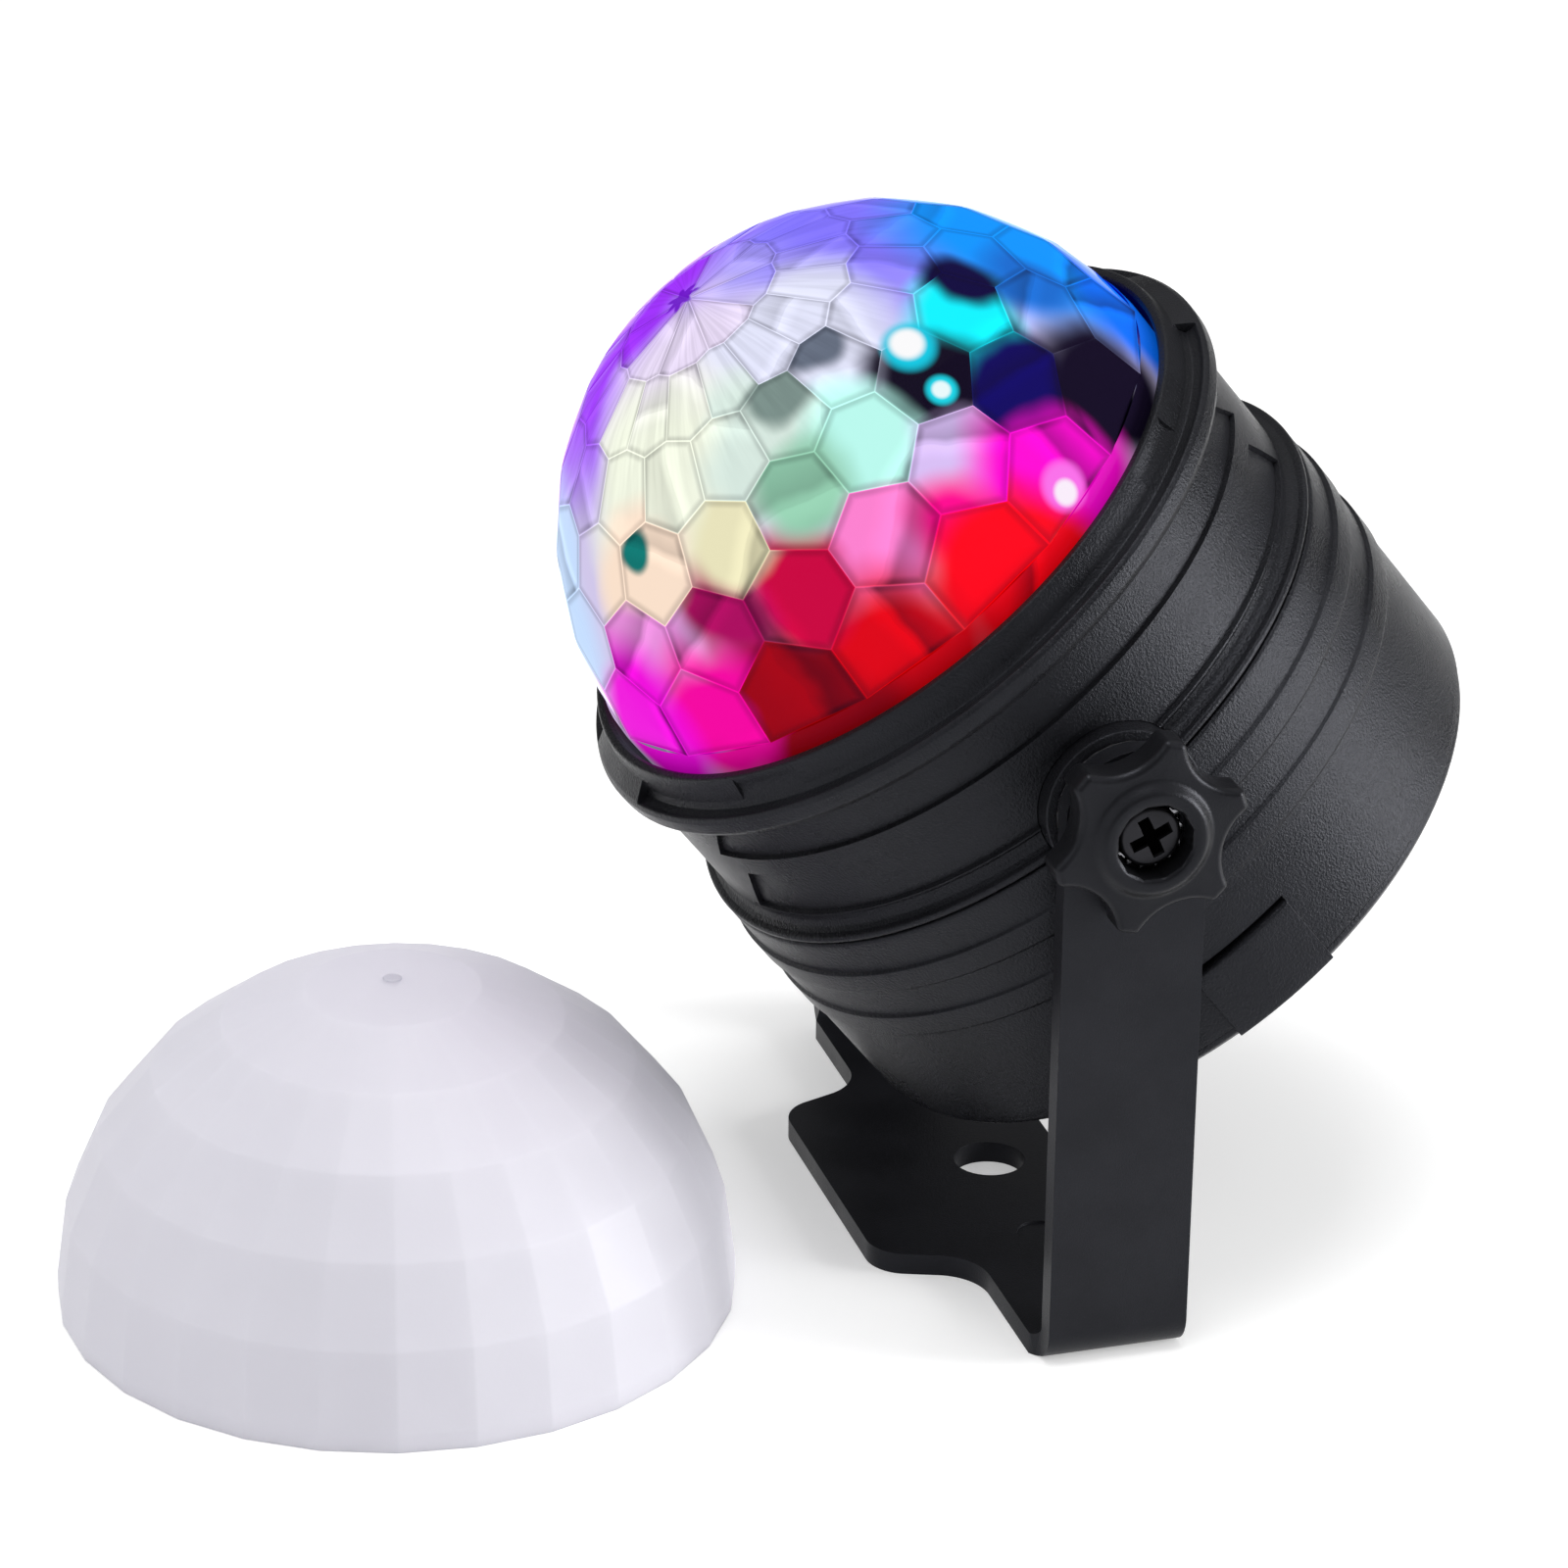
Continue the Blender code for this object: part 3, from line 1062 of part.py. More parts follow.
def make_crystal(head):
    """The crystal dome: flat facets outside over a smooth band and skirt, hollow inside."""
    form = bmesh.new()
    for corner in facet_corners():
        form.verts.new(corner)
    skirt = DOME_BOTTOM - DOME_CENTRE
    rings = ((DOME_R * sin(BAND_ANGLE), DOME_R * cos(BAND_ANGLE)), (DOME_R, 0),
             (DOME_R - DOME_SKIRT_TAPER, skirt))
    for radius, height in rings:
        for step in range(BARREL_STEPS):
            form.verts.new((*polar(radius, tau * step / BARREL_STEPS), height))
    hull(form)
    bmesh.ops.dissolve_limit(form, angle_limit=radians(0.5), verts=form.verts, edges=form.edges)
    dome = filled("crystal_dome", form)
    turns = [pi / 2 * step / DOME_ROWS for step in range(1, DOME_ROWS + 1)]
    inner = [(0, DOME_INNER_R)] + [(DOME_INNER_R * sin(turn), DOME_INNER_R * cos(turn)) for turn in turns]
    cut(dome, turned("hollow", inner + [(DOME_INNER_R, skirt - OVERRUN), (0, skirt - OVERRUN)]))
    dome.location = (0, 0, DOME_CENTRE)
    finish(dome, CRYSTAL, head)


def make_controls(head):
    """The control board, what it carries, and the power inlet."""
    low = (-BOARD_HALF_WIDTH, BOARD_Y - BOARD_HALF_DEPTH, BOARD_BOTTOM)
    board = blocks("control_board", low, (BOARD_HALF_WIDTH, BOARD_Y + BOARD_HALF_DEPTH, BOARD_TOP))
    cut(board, cylinders("holes", FINE_HOLE_R, BOARD_BOTTOM - OVERRUN, BOARD_TOP + OVERRUN,
                         ((BOARD_POST_X, BOARD_Y), (-BOARD_POST_X, BOARD_Y)), TINY_STEPS))
    finish(board, BOARD_GREEN, head)
    seat = BOARD_TOP + GAP
    x, y = CHIP_PLACE
    chip = blocks("driver_chip", (x - CHIP_HALF_WIDTH, y - CHIP_HALF_WIDTH, seat),
                  (x + CHIP_HALF_WIDTH, y + CHIP_HALF_WIDTH, seat + CHIP_H))
    finish(chip, CHIP_BLACK, head)
    capacitor = cylinders("capacitor", CAPACITOR_R, seat, seat + CAPACITOR_H, (CAPACITOR_PLACE,))
    finish(capacitor, LED_BLUE, head)
    connector = blocks("lead_connector", (-CONNECTOR_HALF_WIDTH, CONNECTOR_Y - CONNECTOR_HALF_DEPTH, seat),
                       (CONNECTOR_HALF_WIDTH, CONNECTOR_Y + CONNECTOR_HALF_DEPTH, seat + CONNECTOR_H))
    finish(connector, NYLON, head)
    mic_top = BOARD_BOTTOM - GAP
    mic = cylinders("microphone", MIC_R, mic_top - MIC_H, mic_top, (polar(MIC_RING_R, MIC_TURN),))
    finish(mic, ALUMINIUM, head)
    floor = COVER_SEAT - SOCKET_LIFT
    bottom = COVER_SEAT - COVER_DEPTH
    socket = blocks("dc_socket", (-SOCKET_HALF_WIDTH, SOCKET_Y - SOCKET_HALF_DEPTH, floor),
                    (SOCKET_HALF_WIDTH, SOCKET_Y + SOCKET_HALF_DEPTH, floor + SOCKET_H))
    join(socket, cylinders("nose", SOCKET_NOSE_R, bottom + 2 * GAP, floor + LOOSE_GAP, ((0, SOCKET_Y),)))
    cut(socket, cylinders("barrel", SOCKET_BORE_R, bottom - OVERRUN, bottom + SOCKET_BORE_DEPTH,
                          ((0, SOCKET_Y),)))
    join(socket, cylinders("pin", SOCKET_PIN_R, bottom + COVER_WALL, floor + SOCKET_H - LOOSE_GAP,
                           ((0, SOCKET_Y),), TINY_STEPS))
    finish(socket, CHIP_BLACK, head)


def smooth_route(route):
    """Points on a smooth curve through a route's own points."""
    knots = [Vector(point) for point in route]
    knots = [2 * knots[0] - knots[1]] + knots + [2 * knots[-1] - knots[-2]]
    points = []
    for a, b, c, d in zip(knots, knots[1:], knots[2:], knots[3:]):
        for step in range(LEAD_SPAN_STEPS):
            t = step / LEAD_SPAN_STEPS
            points.append((2 * b + (c - a) * t + (2 * a - 5 * b + 4 * c - d) * t ** 2
                           + (3 * b - a - 3 * c + d) * t ** 3) / 2)
    return points + [knots[-2]]


def make_leads(head):
    """The inner leads from the lamps, the motor and the inlet to the control board."""
    routes = (("led_lead", LED_LEAD_ROUTE, LED_WHITE), ("motor_lead", MOTOR_LEAD_ROUTE, CHIP_BLACK),
              ("power_lead", POWER_LEAD_ROUTE, LEAD_RED))
    for name, route, look in routes:
        curve = bpy.data.curves.new(name, "CURVE")
        curve.dimensions = "3D"
        curve.bevel_depth = LEAD_R
        curve.bevel_resolution = 2
        curve.use_fill_caps = True
        points = smooth_route(route)
        spline = curve.splines.new("POLY")
        spline.points.add(len(points) - 1)
        for point, place in zip(spline.points, points):
            point.co = (*place, 1)
        finish(link(name, curve, parts), look, head)


def main():
    """Build every piece of the light."""
    head = make_head()
    make_bracket()
    make_pivots(head)
    make_diffuser()
    make_housing(head)
    make_drum(head)
    make_cover(head)
    make_screws(head)
    make_led_unit(head)
    make_drive(head)
    make_crystal(head)
    make_controls(head)
    make_leads(head)


main()
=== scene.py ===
"""Looks of the LED disco ball light: a black lamp head under a faceted crystal dome, held in a
U-shaped bracket, and the white diffuser dome that stands beside it.

Lengths are in metres. Pieces of the head are modelled about its pivot, with local +Z along the
barrel to the dome, and then laid in place by the frame's own axes.
"""

import json
from math import acos, atan2, ceil, cos, pi, radians, remainder, sin, sqrt, tan, tau

import bmesh
import bpy
from mathutils import Matrix, Vector


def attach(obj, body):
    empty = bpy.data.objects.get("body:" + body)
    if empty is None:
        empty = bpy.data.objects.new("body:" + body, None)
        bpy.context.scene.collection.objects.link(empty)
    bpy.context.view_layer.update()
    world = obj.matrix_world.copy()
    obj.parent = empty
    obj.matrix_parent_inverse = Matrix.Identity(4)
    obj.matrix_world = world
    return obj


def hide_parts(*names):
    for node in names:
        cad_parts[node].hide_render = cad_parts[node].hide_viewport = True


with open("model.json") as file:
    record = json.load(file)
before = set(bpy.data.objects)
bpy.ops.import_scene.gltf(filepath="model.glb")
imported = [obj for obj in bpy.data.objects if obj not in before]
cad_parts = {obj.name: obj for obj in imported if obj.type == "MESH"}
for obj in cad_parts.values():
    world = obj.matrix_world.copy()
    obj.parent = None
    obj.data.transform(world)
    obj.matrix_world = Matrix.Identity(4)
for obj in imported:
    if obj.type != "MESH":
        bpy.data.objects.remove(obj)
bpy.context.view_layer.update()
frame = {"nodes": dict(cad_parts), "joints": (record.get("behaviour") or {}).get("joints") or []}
joints = {joint["name"]: joint for joint in frame["joints"]}

# Stance of the head, from the frame's joints
PIVOT = Vector(joints["head_tilt"]["pos_m"])
BARREL_AXIS = Vector(joints["dome_spin"]["axis"])
HEAD_TILT = atan2(-BARREL_AXIS.y, BARREL_AXIS.z)
HEAD = Matrix.Translation(PIVOT) @ Matrix.Rotation(HEAD_TILT, 4, "X")

# Fineness of the meshes
MERGE = 0.000002
COLUMNS = 240
ROW_STEP = 0.0011
ROUNDING_STEPS = 3
ROUNDING_SHARE = 0.45
FINE_STEPS = 96
EASE_STEPS = 2
FINE_ROUNDING = 0.0001
SHARP = radians(40)
BEND_LIMIT = radians(50)
CORNER_LIMIT = radians(60)
FLAT = radians(0.5)

# Barrel
BORE_R = 0.0407
NECK_R = 0.04295
DRUM_R = 0.0449
RIB_R = 0.0454
BORE_TOP = 0.0268
COLLAR_TOP = 0.0272
COLLAR_FOOT = 0.0241
FLANGE_TOP = 0.0235
SEAM = 0.0006
SPIGOT_R = 0.0424
SPIGOT_END = -0.0055
BOSS_R = 0.0097
BOSS_FACE = 0.0446
BOSS_INNER = 0.0363
BOSS_HOLE_R = 0.0033
BOSS_EDGE = 0.0003
BOSS_PLAY = 0.0001
SPOTFACE_R = 0.0099
OVERRUN = 0.002

# Front housing down its outer side: radius, height, rounding
COLLAR_CORNERS = (
    (0.0411, COLLAR_TOP, 0.0002), (0.0421, COLLAR_TOP, 0.0004), (0.0428, COLLAR_FOOT, 0.0003),
    (0.04321, 0.02329, 0.0003), (0.04429, 0.02329, 0.0003), (DRUM_R, FLANGE_TOP, 0.0003),
    (0.0453, 0.0229, 0.0005), (0.0453, 0.0212, 0.0008), (0.0446, 0.0202, 0.0005),
    (NECK_R, 0.02, 0.0004),
)
FLARE_CORNERS = (
    (NECK_R, 0.0035, 0.0002), (0.0426, 0.00327, 0.0003), (0.04276, 0.0024, 0.0006),
    (0.04322, 0.00184, 0.0006), (0.04393, 0.00152, 0.0003), (DRUM_R, 0.00142, 0.00055),
    (DRUM_R, SEAM, 0.0003), (SPIGOT_R, SEAM, FINE_ROUNDING), (SPIGOT_R, SPIGOT_END, 0.0002),
    (BORE_R, SPIGOT_END, 0.0002), (BORE_R, BORE_TOP, FINE_ROUNDING),
)

# Side windows of the neck: bottom and top, and the spine's edge at a height as an angle from X
WINDOW_DEPTH = 0.00065
WINDOWS = ((0.0038, 0.0109), (0.0138, 0.0197))
SPINE_EDGES = (
    (-0.001, radians(68)), (0.0038, radians(73.1)), (0.0109, radians(66.1)),
    (0.0138, radians(70)), (0.0197, radians(63)), (0.0212, radians(68)),
)
SPINE_REST = radians(68)
STEP_RUN = 0.00018

# Pockets and pads of the collar
POCKET_TURNS = tuple(radians(turn) for turn in (43.8, 136.2, 224.5, 315.5))
POCKET_HALF = radians(6.3)
POCKET_DEPTH = 0.0004
POCKET_LOW = 0.0245
POCKET_HIGH = BORE_TOP
POCKET_RUN = 0.0001
PAD_TURNS = (pi / 2, 3 * pi / 2)
PAD_HALF = radians(12)
PAD_INNER = (0.0424, 0.0253)
PAD_OUTER = (DRUM_R, 0.0236)
PAD_REACH = 0.0007
FLANGE_STEP = 0.0005

# Rear drum down its outer side: radius, height, rounding
DRUM_TOP = 0.0003
DRUM_BOTTOM = -0.033
DRUM_TAIL_R = 0.045
DRUM_BORE_R = 0.0427
DRUM_INNER_R = 0.0423
DRUM_CORNERS = (
    (DRUM_R, DRUM_TOP, 0.0005), (DRUM_R, -0.0047, FINE_ROUNDING), (RIB_R, -0.0049, 0.00015),
    (RIB_R, -0.008, 0.0003), (DRUM_TAIL_R, -0.0084, 0.0003), (DRUM_TAIL_R, -0.0126, FINE_ROUNDING),
    (RIB_R, -0.0128, 0.00015), (RIB_R, -0.016, 0.0003), (DRUM_TAIL_R, -0.0164, 0.0003),
    (DRUM_TAIL_R, DRUM_BOTTOM, FINE_ROUNDING), (DRUM_BORE_R, DRUM_BOTTOM, FINE_ROUNDING),
    (DRUM_BORE_R, DRUM_TOP, FINE_ROUNDING),
)

# Side tabs of the rear cover
TAB_HALF = radians(9.1)
TAB_TOP = -0.0239
TAB_SLOT_TOP = -0.0232
TAB_SHELF = -0.0336
TAB_BOTTOM = -0.0344
TAB_OUTER_R = 0.0456
TAB_INNER_R = 0.0439
TAB_ROOT_R = 0.041
TAB_EDGE = 0.0002
TAB_STEPS = 24
TAB_PLAY = radians(0.12)
NOTCH_R = 0.0436
NOTCH_RUN = 0.0001

# Rear cover down its outer side: radius, height, rounding
COVER_SEAT = -0.0333
COVER_BOTTOM = -0.0376
COVER_CORNERS = (
    (0.0445, COVER_SEAT, FINE_ROUNDING), (0.0445, -0.0342, 0.0008), (0.0434, -0.0352, 0.0012),
    (0.0408, -0.036, 0.003), (0.02, -0.0374, 0.01), (0, COVER_BOTTOM, 0), (0, -0.0354, 0),
    (0.02, -0.0352, 0.01), (BORE_R, -0.0339, 0.001), (BORE_R, COVER_SEAT, FINE_ROUNDING),
)
COVER_EDGE = 0.00015
VENTS = 12
VENT_MIDDLE = 0.02
VENT_LENGTH = 0.012
VENT_WIDTH = 0.002
VENT_STEPS = 8
COVER_SCREW_RING = 0.0394
COUNTERBORE_R = 0.0026
COUNTERBORE_FLOOR = -0.0339
SCREW_HOLE_R = 0.0014
INLET_Y = -0.032
INLET_R = 0.0043
MIC_PLACE = (0.01414, 0.01414)
MIC_R = 0.0008

# Crystal dome, about its own centre
DOME_CENTRE = 0.025
DOME_R = 0.04
DOME_INNER_R = 0.0376
DOME_SKIRT_R = 0.0398
DOME_SKIRT = -0.0081
HOLLOW_STEPS = 24
FACET_PLANE_R = 0.0394
FACET_ROWS = tuple(radians(row) for row in (77, 63.5, 50, 36.5, 23))
FACETS_ROUND = 18
FACET_TURN = radians(9)
APEX_FACETS = 9
APEX_ROW = radians(10)
BAND_ANGLE = radians(84)
FACET_CROWN = 0.0002
FACET_RIDGE = 0.00005
SIDE_STEPS = 6
FACET_RINGS = (0.25, 0.5, 0.72, 0.86, 0.935, 0.975, 1)
RIDGE_POWER = 24
CRYSTAL_SHARP = radians(3)

# Glow seen in the crystal: lean from the apex, angle about it, spread and colour, laid over in turn
GLOW_BASE = (0.62, 0.56, 0.8, 1)
GLOWS = (
    (12, 180, 42, (0.64, 0.4, 0.96)), (45, 180, 52, (0.6, 0.2, 0.95)), (75, 200, 40, (0.68, 0.12, 0.93)),
    (30, 60, 30, (0.72, 0.68, 0.96)), (45, 100, 34, (0.5, 0.45, 0.98)), (75, 120, 30, (0.22, 0.15, 0.98)),
    (22, -30, 22, (0.88, 0.83, 0.93)), (30, 20, 17, (0.86, 0.87, 0.95)),
    (62, 84, 26, (0.02, 0.58, 1)), (84, 78, 17, (0, 0.45, 1)), (86, 104, 14, (0, 0.1, 0.75)),
    (52, 47, 11, (0, 0.95, 1)), (60, 66, 9, (0.1, 0.42, 0.8)), (48, 57, 6, (0.01, 0.03, 0.22)),
    (51, 29, 9, (0.01, 0.01, 0.02)), (64, 40, 10, (0.01, 0, 0.36)), (77, 50, 12, (0.01, 0.01, 0.04)),
    (37, -42, 20, (0.93, 0.95, 0.87)), (38, -12, 12, (0.83, 0.9, 0.86)), (50, 8, 11, (0.72, 0.97, 0.92)),
    (62, 19, 10, (0.84, 0.74, 0.95)), (77, 29, 13, (1, 0.02, 0.82)), (65, -1, 10, (0.98, 0.5, 0.8)),
    (72, 11, 9, (1, 0.03, 0.55)), (84, 10, 14, (1, 0, 0.03)), (81, -14, 15, (0.86, 0, 0.01)),
    (80, -34, 17, (0.6, 0, 0)), (62, -19, 10, (0.78, 0.02, 0.24)), (60, -38, 10, (0.66, 0.06, 0.36)),
    (66, -60, 11, (0.9, 0.55, 0.85)), (77, -50, 11, (0.95, 0, 0.62)), (78, -70, 14, (0.93, 0.05, 0.85)),
    (50, -55, 11, (0.97, 0.87, 0.78)), (48, -57, 3, (0.05, 0.45, 0.42)), (49, -30, 8, (0.9, 0.88, 0.72)),
    (49, -7, 8, (0.56, 0.78, 0.66)), (35, 23, 4.5, (0.42, 0.46, 0.52)), (35, -1, 4.5, (0.47, 0.55, 0.52)),
    (70, 150, 26, (0.45, 0.1, 0.95)), (72, 240, 26, (0.95, 0.3, 0.75)), (62, -100, 20, (0.75, 0.85, 0.98)),
)

# Lamps and glare seen straight through the crystal
DIRECT_GLOWS = (
    (45.2, 33.6, 4.6, (0.02, 0.8, 0.9)), (44.7, 34, 3, (1, 1, 1)),
    (53.9, 28.2, 2.7, (0.1, 0.85, 0.92)), (53.8, 28.2, 1.6, (0.93, 1, 1)),
    (80, 28.5, 4.2, (1, 0.45, 0.93)), (81, 27.9, 2.3, (1, 0.95, 1)),
)
SPOT_HALO = 1.22
SPOT_CORE = 0.66

# Star in the crystal's apex
STAR_MARK = (radians(3), radians(195))
STAR_POINTS = 7
STAR_R = 0.05
STAR_DEPTH = 0.3
STAR_SOFT = (1.15, 0.85, 0, 0.9)
STAR_TONE = (0.42, 0.02, 0.78)

# How the facets bend the glow, as shares of the dome's radius
FACET_GAIN = 0.8
FACET_TILT = 0.11
GLOW_BEND = 0.1
BEND_SCALE = 3.2
TILT_SEED = (7, 7, 7)
MIDDLE_GREY = (0.5, 0.5, 0.5)

# Light and shade in a facet, by how far a point lies past its facet's wavy line of shade
FACET_LIGHT = 1.07
SHADE_SEED = (5, 5, 5)
WAVE_SEED = (11, 13, 17)
WAVE_NOISE = (9, 1, 0.4)
WAVE = 0.03
SHADE_START = (0.01, 0.13)
SHADE_SOFT = 0.022
SHADE_FADE = 0.09
SHADE_REST = 0.15
SHINE_FROM = -0.05
SHINE_TO = -0.006
SHINE_STOP = -0.001
SHINE = 0.16

# Shade by the height in the dome, fine rays round the apex and the edges of the facets: each is a
# range, then the amounts at its two ends
SHADE_LEANS = (cos(radians(78)), cos(radians(30)), 0.68, 0.26)
RAY_LEANS = (cos(radians(48)), cos(radians(20)), 0, 1)
RAY_FINENESS = 3
RAY_NOISE = (6, 2, 0.6)
RAY_SPREAD = (0.35, 0.65, -0.07, 0.09)
BAND_LEANS = (cos(radians(91)), cos(radians(80)), 0.35, 1)
GROOVE_START = (0.8, 0.95, 0, 0.3)
GROOVE_STOP = (0.99, 0.965, 0, 1)
EDGE_LIGHT = (0.978, 1, 0, 0.24)

# Bracket
ARM_INNER = 0.046
ARM_OUTER = 0.0488
ARM_THICKNESS = ARM_OUTER - ARM_INNER
ARM_WIDTH = 0.0175
ARM_TOP_R = 0.009
ARM_EDGE = 0.0003
BEND_R = 0.0045
BEND_STEPS = 16
INNER_BEND_STEPS = 12
ARCH_STEPS = 48
BASE_HALF_DEPTH = 0.0097
WING_FRONT = 0.0216
WING_HALF_WIDTH = 0.0165
WING_CORNER_R = 0.0053
WING_FILLET_R = 0.0068
WING_LEAN = radians(20)
NECK_START = 0.0443
NECK_END = 0.0459
BASE_HOLE_R = 0.0045
MARK_R = 0.003
MARK_DEPTH = 0.0003
MARK_X = 0.0205
PIVOT_HOLE_R = 0.00225

# Star knobs, measured out from the middle of the lamp
KNOB_BACK = 0.0491
KNOB_PLATE = 0.0496
KNOB_TOP = 0.054
KNOB_RISE = 0.0012
KNOB_EDGE = 0.0009
KNOB_FOOT = 0.0004
KNOB_LIP = 0.0003
KNOB_CORNER_R = 0.0009
KNOB_HUB_R = 0.007
KNOB_SLOPE_R = 0.0076
KNOB_CREST_R = 0.0059
KNOB_RECESS_R = 0.0047
KNOB_RECESS_SIDES = 12
KNOB_FLOOR = 0.0516
KNOB_TIP_R = 0.012
KNOB_VALLEY_R = 0.0091
KNOB_SCALLOP_R = 0.0072
KNOB_POINTS = 6
KNOB_TURN = radians(48)
KNOB_SHARP = radians(30)

# Fineness of the knobs' corners, scallops, edges and slope
CORNER_STEPS = 6
SCALLOP_STEPS = 18
FOOT_STEPS = 4
WALL_SHARES = (0.66, 0.33)
EDGE_STEPS = 7
SLOPE_STEPS = 6

# Toothed washers in the knobs' recesses
WASHER_TEETH = 14
WASHER_PLAY = 0.00005
WASHER_THICKNESS = 0.0002
WASHER_INNER_R = 0.0023
WASHER_ROOT_R = 0.0039
WASHER_TIP_R = 0.0043
WASHER_BITE = 0.0003
WASHER_TWIST = 0.0005

# Pivot screws
SCREW_HEAD_R = 0.00375
SCREW_TOP = 0.0535
SCREW_CROWN = 0.0003
SCREW_ROUNDING = 0.0007
SCREW_END_ROUNDING = 0.0002
SCREW_STEPS = 5
SCREW_SOFT = 0.00008
SCREW_SEAT = 0.0519
SCREW_SHANK_R = 0.00195
SCREW_END = 0.0370
CROSS_LENGTH = 0.0054
CROSS_WIDTH = 0.0015
CROSS_DEPTH = 0.0014
CROSS_FLOOR_SHARE = 0.75
CROSS_MOUTH_SHARE = 1.1
CROSS_TURN = radians(25)

# Diffuser dome
DIFFUSER_R = 0.0416
DIFFUSER_SKIRT = 0.0024
DIFFUSER_WALL = 0.00115
DIFFUSER_SIDES = 28
DIFFUSER_ROWS = 6
DIFFUSER_X = 0.0068
DIFFUSER_Y = -0.0729
FACET_SOFT = 0.00025
DIFFUSER_SHARP = radians(2)
GATE_TOP_R = 0.0011
GATE_FOOT_R = 0.0013
GATE_RISE = 0.00002
GATE_DEPTH = 0.0006
GATE_EDGE = 0.0003

SCREEN_GAMMA = 2.2

# Black plastics: colour, fineness and depth of the grain, and roughness
BARREL_LOOK = ((0.0075, 0.0077, 0.0092, 1), 3100, 0.00012, 0.29)
KNOB_LOOK = ((0.0055, 0.0056, 0.0066, 1), 3800, 0.00003, 0.33)
BRACKET_LOOK = ((0.0085, 0.0087, 0.0104, 1), 4200, 0.00003, 0.36)

# Strength of the light that the lamp lenses give off
LENS_GLOW = 2

# Studio
SUBJECT_HEIGHT = 0.07
FLOOR_HALF = 4
FLOOR_GLOW = 0.36
SKY_LOW = 0.08
SKY_HIGH = 0.75
SKY_RISE = (0.2, 0.9)

# Soft lamps: angle in plan from the front, angle up, distance, width, height and power
LAMPS = (
    ("side_lamp", radians(156), radians(8), 0.8, 0.3, 0.4, 6.5),
    ("top_lamp", radians(60), radians(83), 0.9, 0.45, 0.45, 4.5),
    ("front_lamp", radians(25), radians(22), 1.1, 0.8, 0.8, 2.6),
)

# Camera
CAMERA_PLACE = Vector((0.602433, -0.203634, 0.334016))
CAMERA_AZIMUTH = radians(73.22)
CAMERA_ELEVATION = radians(23.668)
CAMERA_ROLL = radians(0.665)
CAMERA_LENS = 128.83
CAMERA_SENSOR = 36
CAMERA_REACH = 20


def display(red, green, blue):
    """A colour as the screen shows it, for a shader."""
    return (red ** SCREEN_GAMMA, green ** SCREEN_GAMMA, blue ** SCREEN_GAMMA, 1)


def toned(colour, share):
    """A colour made lighter or darker."""
    return (*(share * part for part in colour[:3]), 1)


def smooth(share):
    """A soft step from 0 to 1."""
    share = min(max(share, 0), 1)
    return share * share * (3 - 2 * share)


def plateau(value, low, high, run):
    """1 between two values, with a soft step to 0 over a run inside each of them."""
    return smooth((value - low) / run) * smooth((high - value) / run)


def between(value, table):
    """The value read from a table of (place, amount), straight between its rows."""
    for (low, first), (high, last) in zip(table, table[1:]):
        if value <= high:
            share = min(max((value - low) / (high - low), 0), 1)
            return first + (last - first) * share
    return table[-1][1]


def polar(radius, turn):
    """The point at a radius and an angle."""
    return (radius * cos(turn), radius * sin(turn))


def arc(centre, radius, first, last, steps):
    """Points along an arc, both ends included."""
    turns = [first + (last - first) * step / steps for step in range(steps + 1)]
    return [(centre[0] + radius * cos(turn), centre[1] + radius * sin(turn)) for turn in turns]


def direction(lean, turn):
    """The unit vector that leans from +Z towards an angle about it."""
    return Vector((sin(lean) * cos(turn), sin(lean) * sin(turn), cos(lean)))


def rounded(corners, steps=ROUNDING_STEPS):
    """Points of an outline whose corners (x, y, rounding) are eased into short curves."""
    points = []
    for number, (x, y, rounding) in enumerate(corners):
        here = Vector((x, y))
        if rounding == 0:
            points.append(tuple(here))
            continue
        into = Vector(corners[number - 1][:2]) - here
        out = Vector(corners[(number + 1) % len(corners)][:2]) - here
        reach = min(rounding / tan(into.angle(out) / 2), ROUNDING_SHARE * into.length,
                    ROUNDING_SHARE * out.length)
        start, end = here + into.normalized() * reach, here + out.normalized() * reach
        for step in range(steps + 1):
            share = step / steps
            points.append(tuple(start.lerp(here, share).lerp(here.lerp(end, share), share)))
    return points


def spaced(points, step=ROW_STEP):
    """The outline with extra points, so that none of its runs is longer than a step."""
    result = []
    for near, far in zip(points, points[1:] + points[:1]):
        gap = Vector(far) - Vector(near)
        parts = max(1, ceil(gap.length / step))
        result += [tuple(Vector(near) + gap * part / parts) for part in range(parts)]
    return result


def ring(form, radius, height, turns):
    """New vertices at a radius and a height, one for each angle."""
    return [form.verts.new((*polar(radius, turn), height)) for turn in turns]


def skin(form, rings, loop=False, round_about=True):
    """Faces between neighbouring rings of vertices, where a ring of one vertex is a pole."""
    pairs = list(zip(rings, rings[1:]))
    if loop:
        pairs.append((rings[-1], rings[0]))
    for near, far in pairs:
        count = max(len(near), len(far))
        for number in range(count if round_about else count - 1):
            after = (number + 1) % count
            corners = [near[number % len(near)], near[after % len(near)],
                       far[after % len(far)], far[number % len(far)]]
            unique = list(dict.fromkeys(corners))
            if len(unique) > 2:
                form.faces.new(unique)


def lathe(outline, turns, shape=None, loop=True):
    """A form of an outline (radius, height) carried round Z, its surface moved by a rule."""
    form = bmesh.new()
    rings = []
    for radius, height in outline:
        if radius <= 0:
            rings.append([form.verts.new((0, 0, height))])
            continue
        places = [shape(turn, radius, height) if shape else (turn, radius, height) for turn in turns]
        rings.append([form.verts.new((*polar(far, turn), up)) for turn, far, up in places])
    skin(form, rings, loop)
    return form


def around(count):
    """Even angles round a circle."""
    return [tau * number / count for number in range(count)]


